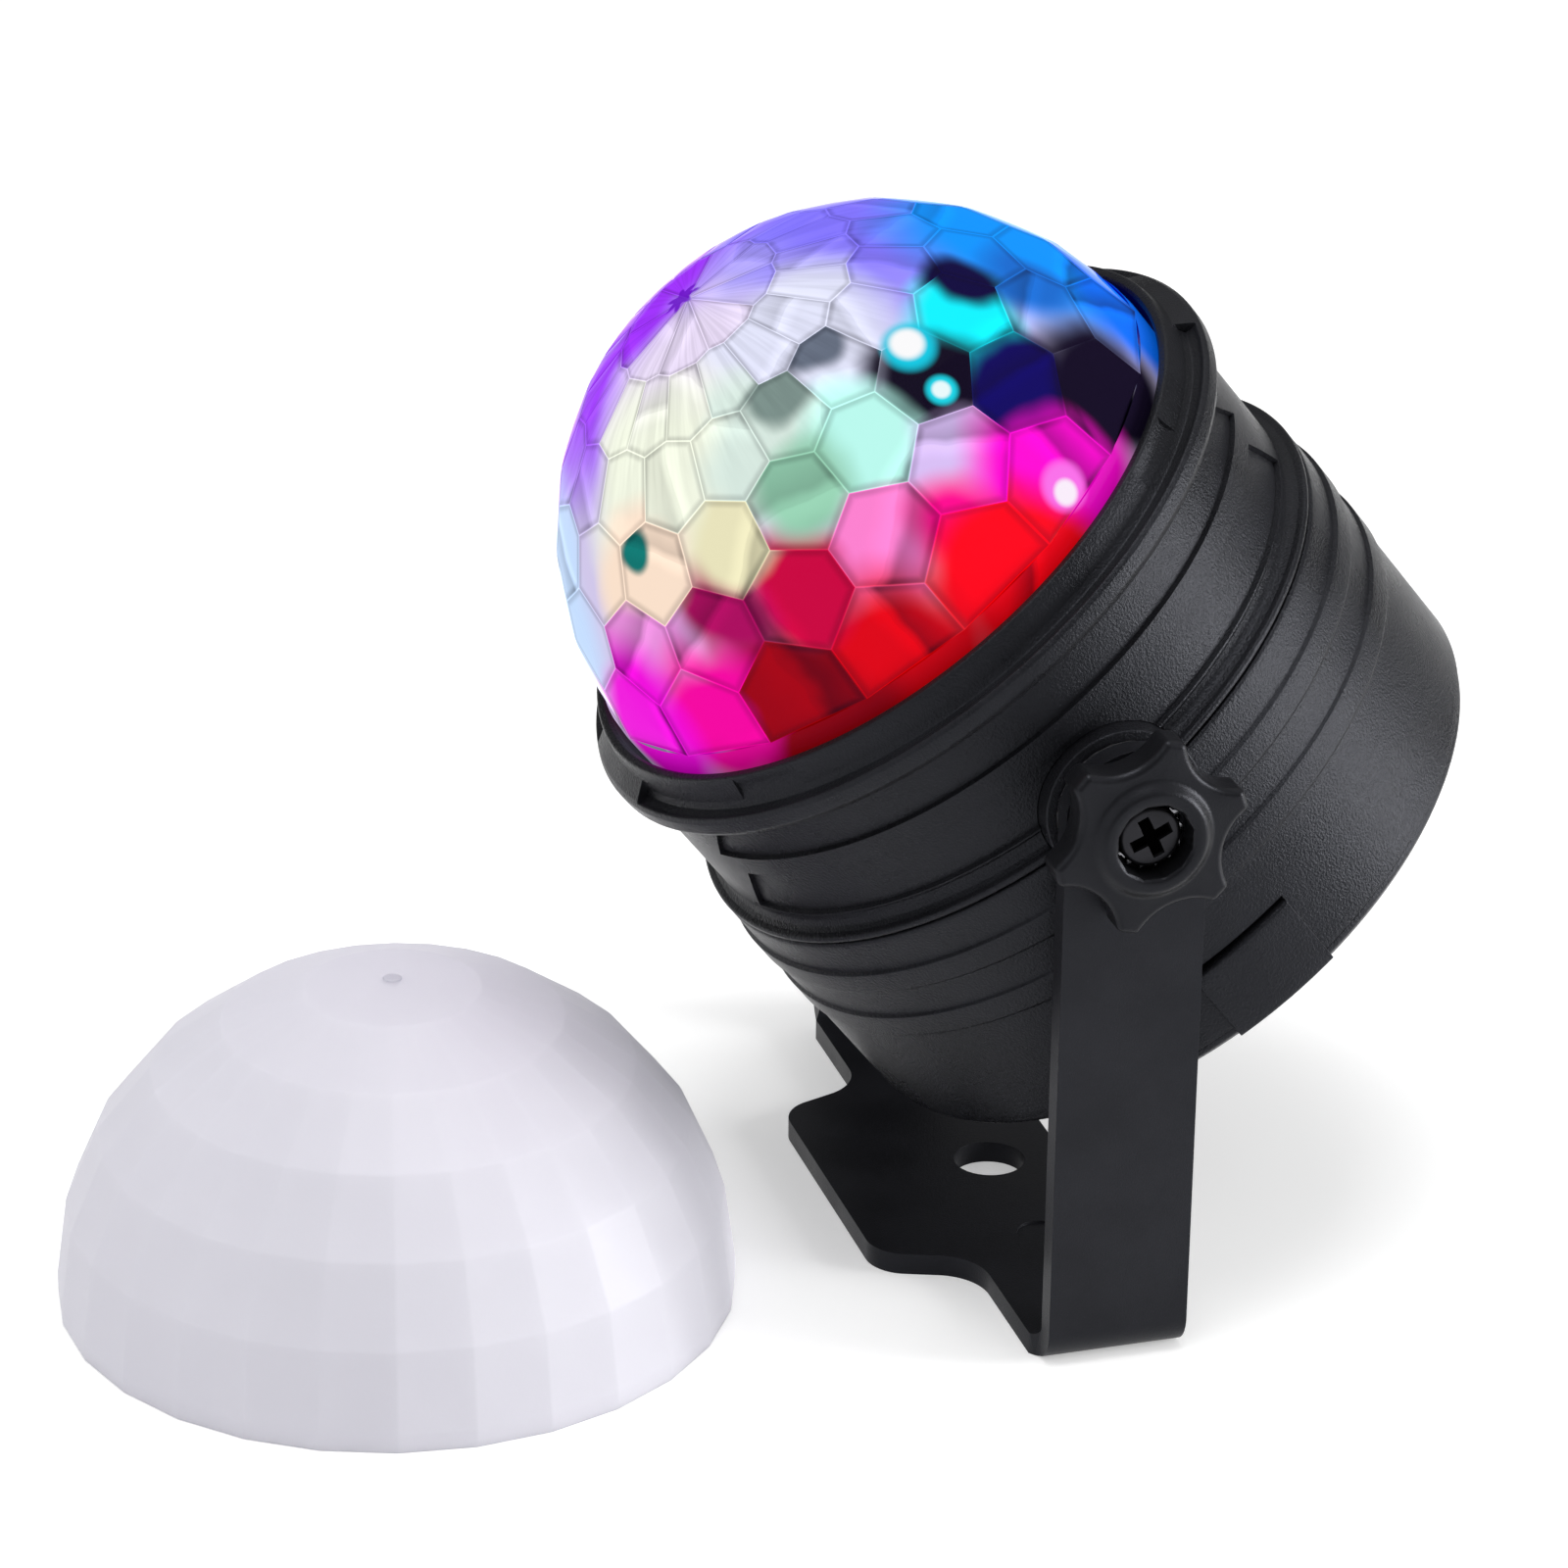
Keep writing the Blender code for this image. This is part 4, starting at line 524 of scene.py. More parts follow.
def linked(name, data):
    """A new object in the scene."""
    obj = bpy.data.objects.new(name, data)
    bpy.context.scene.collection.objects.link(obj)
    return obj


def solid(name, form, sharp=SHARP):
    """An object from a form, shaded smooth but for its sharp edges."""
    bmesh.ops.remove_doubles(form, verts=form.verts, dist=MERGE)
    bmesh.ops.recalc_face_normals(form, faces=form.faces)
    mesh = bpy.data.meshes.new(name)
    form.to_mesh(mesh)
    form.free()
    mesh.shade_smooth()
    mesh.set_sharp_from_angle(angle=sharp)
    return linked(name, mesh)


def finished_mesh(obj):
    """A new mesh of an object with all its modifiers worked in."""
    bpy.context.view_layer.update()
    graph = bpy.context.evaluated_depsgraph_get()
    return bpy.data.meshes.new_from_object(obj.evaluated_get(graph))


def settled(obj):
    """The same object with its modifiers made into its mesh."""
    mesh = finished_mesh(obj)
    obj.modifiers.clear()
    obj.data = mesh
    return obj


def worked(obj, tool, operation):
    """The object cut by a tool or kept inside it, and the tool removed."""
    work = obj.modifiers.new(operation, "BOOLEAN")
    work.operation = operation
    work.solver = "EXACT"
    work.object = tool
    settled(obj)
    bpy.data.objects.remove(tool)
    obj.data.shade_smooth()
    obj.data.set_sharp_from_angle(angle=SHARP)
    return obj


def eased(obj, width, limit):
    """The object with its edges rounded where they turn by more than a limit."""
    bevel = obj.modifiers.new("ease", "BEVEL")
    bevel.width = width
    bevel.segments = EASE_STEPS
    bevel.limit_method = "ANGLE"
    bevel.angle_limit = limit
    bevel.miter_outer = "MITER_ARC"
    bevel.use_clamp_overlap = True
    bevel.harden_normals = True
    return settled(obj)


def joined(obj, *others):
    """One object from several, kept as separate shells."""
    form = bmesh.new()
    for part in (obj, *others):
        form.from_mesh(part.data)
    form.to_mesh(obj.data)
    form.free()
    for other in others:
        bpy.data.objects.remove(other)
    return obj


def plate(outline, low, high, place=Matrix()):
    """A form of a flat outline from one height to another, laid in its place."""
    curve = bpy.data.curves.new("plate", "CURVE")
    curve.dimensions = "2D"
    curve.fill_mode = "BOTH"
    curve.extrude = (high - low) / 2
    spline = curve.splines.new("POLY")
    spline.points.add(len(outline) - 1)
    for point, (x, y) in zip(spline.points, outline):
        point.co = (x, y, 0, 1)
    spline.use_cyclic_u = True
    sketch = linked("plate", curve)
    form = bmesh.new()
    form.from_mesh(finished_mesh(sketch))
    bmesh.ops.remove_doubles(form, verts=form.verts, dist=MERGE)
    bmesh.ops.dissolve_limit(form, angle_limit=FLAT, verts=form.verts, edges=form.edges)
    lift = Matrix.Translation((0, 0, (low + high) / 2))
    bmesh.ops.transform(form, matrix=place @ lift, verts=form.verts)
    bpy.data.objects.remove(sketch)
    return form


def bars(radius, low, high, places=((0, 0),), place=Matrix()):
    """A form of round bars along Z between two heights."""
    form = bmesh.new()
    for x, y in places:
        middle = Matrix.Translation((x, y, (low + high) / 2))
        bmesh.ops.create_cone(form, cap_ends=True, segments=FINE_STEPS, radius1=radius,
                              radius2=radius, depth=high - low, matrix=place @ middle)
    return form


def inner_faces(node, limit):
    """A form of the frame node's own faces whose middles the limit keeps, about the head's pivot."""
    form = bmesh.new()
    form.from_mesh(frame["nodes"][node].data)
    bmesh.ops.transform(form, matrix=HEAD.inverted(), verts=form.verts)
    away = [face for face in form.faces if not limit(face.calc_center_median())]
    bmesh.ops.delete(form, geom=away, context="FACES")
    return form


def place_piece(obj, look, body, nodes=(), place=HEAD):
    """Finish a piece: its material, its place, the body that it rides on and what it replaces."""
    obj.data.materials.clear()
    obj.data.materials.append(look)
    obj.matrix_world = place
    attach(obj, body)
    if nodes:
        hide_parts(*nodes)
    return obj


class Wiring:
    """The nodes of one material, added one by one."""

    def __init__(self, name):
        self.material = bpy.data.materials.new(name)
        self.material.use_nodes = True
        self.tree = self.material.node_tree
        self.shader = self.tree.nodes["Principled BSDF"]

    def feed(self, socket, value):
        """Link a socket, or set its constant."""
        if isinstance(value, bpy.types.NodeSocket):
            self.tree.links.new(value, socket)
        else:
            socket.default_value = value

    def add(self, kind, inputs=(), **settings):
        """A new node with its settings and inputs."""
        node = self.tree.nodes.new("ShaderNode" + kind)
        for name, value in settings.items():
            setattr(node, name, value)
        for name, value in dict(inputs).items():
            self.feed(node.inputs[name], value)
        return node

    def surface(self, **values):
        """Set or link the shader's inputs, an underscore standing for a space."""
        for name, value in values.items():
            self.feed(self.shader.inputs[name.replace("_", " ")], value)
        return self.material

    def place(self):
        """The point's place in the piece's own space."""
        return self.add("TexCoord").outputs["Object"]

    def noise(self, scale, detail=2, roughness=0.5, vector=None):
        """A cloudy pattern from 0 to 1."""
        return self.add("TexNoise", {"Vector": vector or self.place(), "Scale": scale, "Detail": detail,
                                     "Roughness": roughness}).outputs["Fac"]

    def scaled(self, vector, scale):
        """A vector stretched along its axes."""
        return self.vector("MULTIPLY", vector, scale)

    def ranged(self, value, low, high, first, last, kind="SMOOTHSTEP"):
        """A value carried from one range to another, held at its ends."""
        return self.add("MapRange", {"Value": value, "From Min": low, "From Max": high, "To Min": first,
                                     "To Max": last}, interpolation_type=kind).outputs["Result"]

    def sum(self, operation, first, second=0.0):
        """One step of arithmetic on numbers."""
        return self.add("Math", {0: first, 1: second}, operation=operation).outputs[0]

    def mixed(self, share, first, second):
        """A blend of two colours."""
        return self.add("Mix", {0: share, 6: first, 7: second}, data_type="RGBA").outputs[2]

    def vector(self, operation, first, second=(0, 0, 0)):
        """One step of arithmetic on vectors."""
        return self.add("VectorMath", {0: first, 1: second}, operation=operation).outputs[0]

    def dot(self, first, second):
        """How far two vectors agree."""
        return self.add("VectorMath", {0: first, 1: second}, operation="DOT_PRODUCT").outputs["Value"]

    def glows(self, tone, seen, table):
        """Soft spots of colour laid over a tone, by how near each one is to the seen direction."""
        for lean, turn, spread, colour in table:
            way = direction(radians(lean), radians(turn))
            near = self.dot(seen, tuple(way))
            halo, core = cos(radians(SPOT_HALO * spread)), cos(radians(SPOT_CORE * spread))
            share = self.ranged(near, halo, core, 0, 1)
            tone = self.mixed(share, tone, display(*colour))
        return tone

    def bump(self, height, strength, depth, normal=None):
        """A normal from a height pattern."""
        inputs = {"Height": height, "Strength": strength, "Distance": depth}
        if normal:
            inputs["Normal"] = normal
        return self.add("Bump", inputs).outputs[0]


def black_plastic(name, colour, grain_scale, grain_depth, roughness):
    """Moulded black plastic: fine grain, faint cloudiness and specks of dust."""
    w = Wiring(name)
    cloud = w.noise(90, 4)
    grain = w.noise(grain_scale, 3, 0.6)
    dust = w.ranged(w.noise(5200, 1), 0.66, 0.8, 0, 1)
    tone = w.mixed(w.ranged(cloud, 0.3, 0.7, 0, 1), colour, toned(colour, 1.5))
    tone = w.mixed(w.sum("MULTIPLY", dust, 0.25), tone, toned(colour, 4))
    dull = w.ranged(cloud, 0.3, 0.7, roughness - 0.04, roughness + 0.04)
    relief = w.bump(w.noise(260, 2), 0.12, 0.0002)
    relief = w.bump(grain, 1, grain_depth, relief)
    return w.surface(Base_Color=tone, Roughness=dull, Normal=relief, Specular_IOR_Level=0.17,
                     Specular_Tint=(0.84, 0.87, 1, 1))


def milky_plastic():
    """Half-gloss milky white plastic that lets some light through, with a faint painted glow that evens out
    its shading.
    """
    w = Wiring("milky_plastic")
    cloud = w.noise(45, 3)
    tone = w.mixed(cloud, display(0.77, 0.764, 0.803), display(0.8, 0.794, 0.833))
    relief = w.bump(w.noise(2600, 2), 0.1, 0.00006, w.bump(w.noise(220, 2), 0.05, 0.0002))
    w.shader.subsurface_method = "RANDOM_WALK"
    # Painted light: the emission of the plastic's own colour is a painted glow that evens out the facets'
    # shading, though the dome is no lamp.
    return w.surface(Base_Color=tone, Roughness=w.ranged(cloud, 0.3, 0.7, 0.46, 0.54), Normal=relief,
                     Subsurface_Weight=0.6, Subsurface_Radius=(0.01, 0.01, 0.0104), Subsurface_Scale=0.8,
                     Specular_IOR_Level=0.25, Emission_Color=tone, Emission_Strength=0.2)


def metal(name, colour, roughness):
    """Bare metal with fine tool marks."""
    w = Wiring(name)
    marks = w.noise(1500, 3, 0.6)
    cloud = w.noise(140, 3)
    tone = w.mixed(cloud, toned(colour, 0.85), colour)
    return w.surface(Base_Color=tone, Metallic=1, Normal=w.bump(marks, 0.2, 0.00005),
                     Roughness=w.ranged(cloud, 0.3, 0.7, roughness - 0.06, roughness + 0.08))


def black_steel():
    """Blackened steel of the pivot screws, turned dull black down in the cross recess as painted shade."""
    w = Wiring("black_steel")
    cloud = w.noise(300, 3)
    height = w.add("SeparateXYZ", {0: w.place()}).outputs["Z"]
    # Painted shade: below the head's top the steel fades to dull matte black, standing in for the shade down
    # in the cross recess.
    unshaded_share = w.ranged(height, SCREW_TOP - 2 * SCREW_CROWN, SCREW_TOP - SCREW_CROWN, 0, 1)
    steel = w.mixed(cloud, (0.02, 0.02, 0.022, 1), (0.03, 0.03, 0.034, 1))
    tone = w.mixed(unshaded_share, (0.001, 0.001, 0.001, 1), steel)
    return w.surface(Base_Color=tone, Metallic=unshaded_share, Roughness=w.ranged(unshaded_share, 0, 1, 0.9, 0.34),
                     Specular_IOR_Level=w.sum("MULTIPLY", unshaded_share, 0.3),
                     Normal=w.bump(w.noise(2400, 3, 0.6), 0.3, 0.00004))


def moulded(name, colour, roughness):
    """Plain moulded plastic or board with faint cloudiness and grain."""
    w = Wiring(name)
    cloud = w.noise(160, 3)
    tone = w.mixed(cloud, toned(colour, 0.82), colour)
    return w.surface(Base_Color=tone, Roughness=w.ranged(cloud, 0.3, 0.7, roughness - 0.05, roughness + 0.07),
                     Normal=w.bump(w.noise(2200, 2), 0.2, 0.00004))


def circuit_board(name, colour, track):
    """A circuit board with a lattice of tracks under its lacquer."""
    w = Wiring(name)
    cells = w.add("TexVoronoi", {"Vector": w.place(), "Scale": 420, "Randomness": 0.35},
                  feature="DISTANCE_TO_EDGE").outputs["Distance"]
    lines = w.ranged(cells, 0.04, 0.09, 1, 0)
    tone = w.mixed(lines, colour, track)
    return w.surface(Base_Color=tone, Roughness=0.4, Normal=w.bump(lines, 0.3, 0.00004))


def lamp_lens(name, colour):
    """The clear cap of a lit lamp."""
    w = Wiring(name)
    hot = w.ranged(w.noise(700, 1), 0.3, 0.7, 0.7, 1)
    tone = w.mixed(hot, toned(colour, 0.7), colour)
    return w.surface(Base_Color=tone, Emission_Color=tone, Emission_Strength=LENS_GLOW, Roughness=0.15,
                     Coat_Weight=0.5)


def facet_view(w, place, centre, offset):
    """The way that a point of a facet looks into the dome, a little askew in each facet."""
    tilt = w.add("TexWhiteNoise", {"Vector": w.scaled(centre, TILT_SEED)}).outputs["Color"]
    tilt = w.scaled(w.vector("SUBTRACT", tilt, MIDDLE_GREY), (FACET_TILT,) * 3)
    bend = w.add("TexNoise", {"Vector": place, "Scale": BEND_SCALE, "Detail": 2}).outputs["Color"]
    bend = w.scaled(w.vector("SUBTRACT", bend, MIDDLE_GREY), (GLOW_BEND,) * 3)
    seen = w.vector("ADD", w.vector("ADD", centre, w.scaled(offset, (FACET_GAIN,) * 3)),
                    w.vector("ADD", tilt, bend))
    return w.vector("NORMALIZE", seen)


def shade_depth(w, centre, offset):
    """How far a point lies past the wavy line of shade across its facet."""
    chance = w.add("TexWhiteNoise", {"Vector": w.scaled(centre, SHADE_SEED)}).outputs
    side = w.vector("NORMALIZE", w.vector("SUBTRACT", chance["Color"], MIDDLE_GREY))
    depth = w.dot(offset, side)
    wave = w.noise(*WAVE_NOISE, w.vector("ADD", w.scaled(centre, WAVE_SEED), offset))
    depth = w.sum("ADD", depth, w.sum("MULTIPLY", wave, WAVE))
    return w.sum("SUBTRACT", depth, w.ranged(chance["Value"], 0, 1, *SHADE_START, "LINEAR"))


def facet_light(w, place, depth, reach):
    """How bright a point of the crystal is: shade, shine, rays round the apex, edges and the low band."""
    shade = w.sum("MULTIPLY", w.ranged(depth, 0, SHADE_SOFT, 0, 1),
                  w.ranged(depth, 0, SHADE_FADE, 1, SHADE_REST, "LINEAR"))
    parts = w.add("SeparateXYZ", {0: place}).outputs
    strength = w.ranged(parts["Z"], *SHADE_LEANS)
    light = w.sum("SUBTRACT", FACET_LIGHT, w.sum("MULTIPLY", shade, strength))
    shine = w.sum("MULTIPLY", w.ranged(depth, SHINE_FROM, SHINE_TO, 0, 1),
                  w.ranged(depth, SHINE_STOP, SHINE_TO, 0, 1))
    light = w.sum("ADD", light, w.sum("MULTIPLY", shine, SHINE))
    angle = w.sum("ARCTAN2", parts["Y"], parts["X"])
    rays = w.add("CombineXYZ", {0: w.sum("MULTIPLY", angle, RAY_FINENESS), 1: parts["Z"],
                                2: w.sum("SINE", angle)})
    rays = w.noise(*RAY_NOISE, rays.outputs[0])
    near_apex = w.ranged(parts["Z"], *RAY_LEANS)
    light = w.sum("ADD", light, w.sum("MULTIPLY", near_apex, w.ranged(rays, *RAY_SPREAD)))
    groove = w.sum("MULTIPLY", w.ranged(reach, *GROOVE_START), w.ranged(reach, *GROOVE_STOP))
    light = w.sum("SUBTRACT", light, groove)
    light = w.sum("MULTIPLY", light, w.ranged(parts["Z"], *BAND_LEANS))
    return w.sum("ADD", light, w.ranged(reach, *EDGE_LIGHT))


def star_mark(w, place, tone):
    """The small star in the apex laid over a tone."""
    star = w.vector("SUBTRACT", place, tuple(direction(*STAR_MARK)))
    across = w.add("SeparateXYZ", {0: star}).outputs
    angle = w.sum("ARCTAN2", across["Y"], across["X"])
    petal = w.sum("MULTIPLY", w.sum("SINE", w.sum("MULTIPLY", angle, STAR_POINTS)), STAR_DEPTH)
    petal = w.sum("MULTIPLY", w.sum("ADD", petal, 1), STAR_R)
    far = w.add("VectorMath", {0: star}, operation="LENGTH").outputs["Value"]
    inner = w.ranged(w.sum("DIVIDE", far, petal), *STAR_SOFT)
    return w.mixed(inner, tone, display(*STAR_TONE))


def crystal():
    """Faceted crystal lit from inside: each facet shows a small view of the coloured glow behind it."""
    w = Wiring("crystal")
    place = w.add("VectorRotate", {"Vector": w.place(), "Angle": -HEAD_TILT}, rotation_type="X_AXIS")
    place = w.vector("NORMALIZE", place.outputs[0])
    centre = w.add("Attribute", attribute_name="facet").outputs["Vector"]
    reach = w.add("Attribute", attribute_name="reach").outputs["Fac"]
    offset = w.vector("SUBTRACT", place, centre)
    tone = w.glows(GLOW_BASE, facet_view(w, place, centre, offset), GLOWS)
    light = facet_light(w, place, shade_depth(w, centre, offset), reach)
    tone = w.add("VectorMath", {0: tone, "Scale": light}, operation="SCALE").outputs[0]
    tone = star_mark(w, place, w.glows(tone, place, DIRECT_GLOWS))
    return w.surface(Base_Color=display(0.1, 0.08, 0.14), Emission_Color=tone, Emission_Strength=0.95,
                     Roughness=0.08, IOR=1.03)


def housing_turn(turn, height):
    """An angle moved so that the spine's edges lean as they do on the neck."""
    fold = remainder(turn, pi)
    edge = between(height, SPINE_EDGES)
    if abs(fold) <= SPINE_REST:
        moved = abs(fold) * edge / SPINE_REST
    else:
        moved = pi / 2 - (pi / 2 - abs(fold)) * (pi / 2 - edge) / (pi / 2 - SPINE_REST)
    return turn - fold + (moved if fold > 0 else -moved)


def housing_shape(turn, radius, height):
    """The windows sunk into the neck, and the pads and pockets of the collar."""
    fold = abs(remainder(turn, pi))
    if abs(radius - NECK_R) < MERGE:
        for low, high in WINDOWS:
            up = plateau(height, low, high, STEP_RUN)
            radius -= WINDOW_DEPTH * up * smooth((SPINE_REST - fold) * NECK_R / STEP_RUN)
    if height > PAD_OUTER[1] - FLANGE_STEP and PAD_INNER[0] - PAD_REACH < radius < PAD_OUTER[0]:
        slope = (PAD_INNER[1] - PAD_OUTER[1]) / (PAD_OUTER[0] - PAD_INNER[0])
        line = PAD_OUTER[1] + (PAD_OUTER[0] - radius) * slope
        if fold > pi / 2 - PAD_HALF and height < line:
            height = line
        up = plateau(height, POCKET_LOW, POCKET_HIGH, POCKET_RUN)
        aside = min(abs(remainder(turn - pocket, tau)) for pocket in POCKET_TURNS)
        radius -= POCKET_DEPTH * up * smooth((POCKET_HALF - aside) * NECK_R / POCKET_RUN)
    return housing_turn(turn, height), radius, height


def edge_marks(middles, reach, run):
    """Angles at both edges of cuts that are equally wide, and a run inside each edge."""
    return [middle + side * turn for middle in middles for side in (1, -1) for turn in (reach, reach - run)]


def marked(marks):
    """Even angles round the barrel, and the marked ones in place of any close to them."""
    clear = tau / COLUMNS / 4
    even = [turn for turn in around(COLUMNS)
            if all(abs(remainder(turn - mark, tau)) > clear for mark in marks)]
    return sorted(turn % tau for turn in even + marks)


def sideways(form, side):
    """The form turned from +Z to one side's X."""
    bmesh.ops.rotate(form, matrix=Matrix.Rotation(side * pi / 2, 3, "Y"), verts=form.verts)
    return form


def side_pair(name, outline):
    """The same turned form on both sides of the barrel, about the tilt axis."""
    pieces = [solid(name, sideways(lathe(outline, around(FINE_STEPS)), side)) for side in (1, -1)]
    return joined(*pieces)


def front_housing(look):
    """The front housing: collar, flange, windowed neck and flare, with its own inner works."""
    edges = [end for low, high in WINDOWS for end in (low, low + STEP_RUN, high - STEP_RUN, high)]
    rows = tuple((NECK_R, height, 0) for height in sorted(edges, reverse=True))
    outline = spaced(rounded(COLLAR_CORNERS + rows + FLARE_CORNERS))
    marks = edge_marks((0, pi), SPINE_REST, STEP_RUN / NECK_R)
    marks += edge_marks(POCKET_TURNS, POCKET_HALF, POCKET_RUN / NECK_R)
    marks += edge_marks(PAD_TURNS, PAD_HALF, POCKET_RUN / NECK_R)
    housing = solid("housing_shell", lathe(outline, marked(marks), housing_shape))
    clear = BOSS_R + BOSS_PLAY
    notch = ((0, RIB_R + OVERRUN), (clear, RIB_R + OVERRUN), (clear, BOSS_INNER), (0, BOSS_INNER))
    worked(housing, side_pair("notch", notch), "DIFFERENCE")
    inside = inner_faces("front_housing", lambda spot: Vector(spot.xy).length < BORE_R - PAD_REACH)
    joined(housing, solid("works", inside))
    return place_piece(housing, look, "head", ("front_housing",))


def notch_shape(turn, radius, height):
    """The drum's side cut back where a tab lies."""
    aside = abs(remainder(turn, pi))
    if radius > NOTCH_R and height <= TAB_SLOT_TOP + MERGE:
        deep = smooth((TAB_HALF + TAB_PLAY - aside) * DRUM_R / NOTCH_RUN)
        deep *= smooth((TAB_SLOT_TOP - height) / NOTCH_RUN)
        radius += (NOTCH_R - radius) * deep
    return turn, radius, height


def rear_drum(look):
    """The rear drum: two ribs, notches for the tabs and a boss on each side."""
    rows = ((DRUM_TAIL_R, TAB_SLOT_TOP, 0), (DRUM_TAIL_R, TAB_SLOT_TOP - NOTCH_RUN, 0))
    corners = DRUM_CORNERS[:-3] + rows + DRUM_CORNERS[-3:]
    marks = edge_marks((0, pi), TAB_HALF + TAB_PLAY, NOTCH_RUN / DRUM_R)
    drum = solid("drum_shell", lathe(spaced(rounded(corners)), marked(marks), notch_shape))
    core = BOSS_R - MERGE
    tool = ((0, RIB_R + OVERRUN), (SPOTFACE_R, RIB_R + OVERRUN), (SPOTFACE_R, BOSS_FACE),
            (core, BOSS_FACE), (core, BOSS_INNER), (0, BOSS_INNER))
    worked(drum, side_pair("spotface", tool), "DIFFERENCE")
    boss = rounded(((BOSS_HOLE_R, BOSS_FACE, BOSS_EDGE), (BOSS_R, BOSS_FACE, BOSS_EDGE),
                    (BOSS_R, BOSS_INNER, FINE_ROUNDING), (BOSS_HOLE_R, BOSS_INNER, FINE_ROUNDING)))
    inside = inner_faces("rear_drum", lambda spot: Vector(spot.xy).length < DRUM_INNER_R)
    works = solid("works", inside)
    joined(drum, side_pair("boss", boss), works)
    return place_piece(drum, look, "head", ("rear_drum",))


def cover_tab(side):
    """One side tab of the rear cover, from its foot under the rim to its top beside the drum."""
    corners = ((TAB_OUTER_R, TAB_TOP, 0.0004), (TAB_OUTER_R, TAB_BOTTOM, 0.0005),
               (TAB_ROOT_R, TAB_BOTTOM, FINE_ROUNDING), (TAB_ROOT_R, TAB_SHELF, FINE_ROUNDING),
               (TAB_INNER_R, TAB_SHELF, FINE_ROUNDING), (TAB_INNER_R, TAB_TOP, TAB_EDGE))
    outline = spaced(rounded(corners))
    middle = 0 if side > 0 else pi
    turns = [middle + TAB_HALF * (2 * step / TAB_STEPS - 1) for step in range(TAB_STEPS + 1)]
    form = bmesh.new()
    rings = [ring(form, radius, height, turns) for radius, height in outline]
    skin(form, rings, loop=True, round_about=False)
    form.faces.new([row[0] for row in rings])
    form.faces.new([row[-1] for row in reversed(rings)])
    return eased(solid("tab", form), TAB_EDGE, CORNER_LIMIT)


def rear_cover(look):
    """The dished rear cover with vents, sunk screw seats, inlet and microphone holes, and tabs."""
    cover = solid("cover_shell", lathe(spaced(rounded(COVER_CORNERS), 2 * ROW_STEP), around(COLUMNS)))
    low, high = COVER_BOTTOM - OVERRUN, COVER_SEAT + OVERRUN
    middle = (VENT_LENGTH - VENT_WIDTH) / 2
    slot = arc((VENT_MIDDLE + middle, 0), VENT_WIDTH / 2, -pi / 2, pi / 2, VENT_STEPS)
    slot += arc((VENT_MIDDLE - middle, 0), VENT_WIDTH / 2, pi / 2, 3 * pi / 2, VENT_STEPS)
    vents = [solid("vent", plate(slot, low, high, Matrix.Rotation(turn, 4, "Z"))) for turn in around(VENTS)]
    worked(cover, joined(*vents), "DIFFERENCE")
    seats = [polar(COVER_SCREW_RING, pi / 4 + turn) for turn in around(4)]
    holes = ((COUNTERBORE_R, low, COUNTERBORE_FLOOR, seats),
             (SCREW_HOLE_R, COUNTERBORE_FLOOR - MERGE, high, seats),
             (INLET_R, low, high, ((0, INLET_Y),)), (MIC_R, low, high, (MIC_PLACE,)))
    for hole in holes:
        worked(cover, solid("hole", bars(*hole)), "DIFFERENCE")
    eased(cover, COVER_EDGE, CORNER_LIMIT)
    works = solid("works", inner_faces("rear_cover", lambda spot: spot.z > COVER_SEAT + MERGE
                                       and Vector(spot.xy).length < DRUM_INNER_R))
    joined(cover, cover_tab(1), cover_tab(-1), works)
    return place_piece(cover, look, "head", ("rear_cover",))


def mirrored(points):
    """The outline's points with their mirror images across X, in order."""
    return points + [(-x, y) for x, y in reversed(points)]


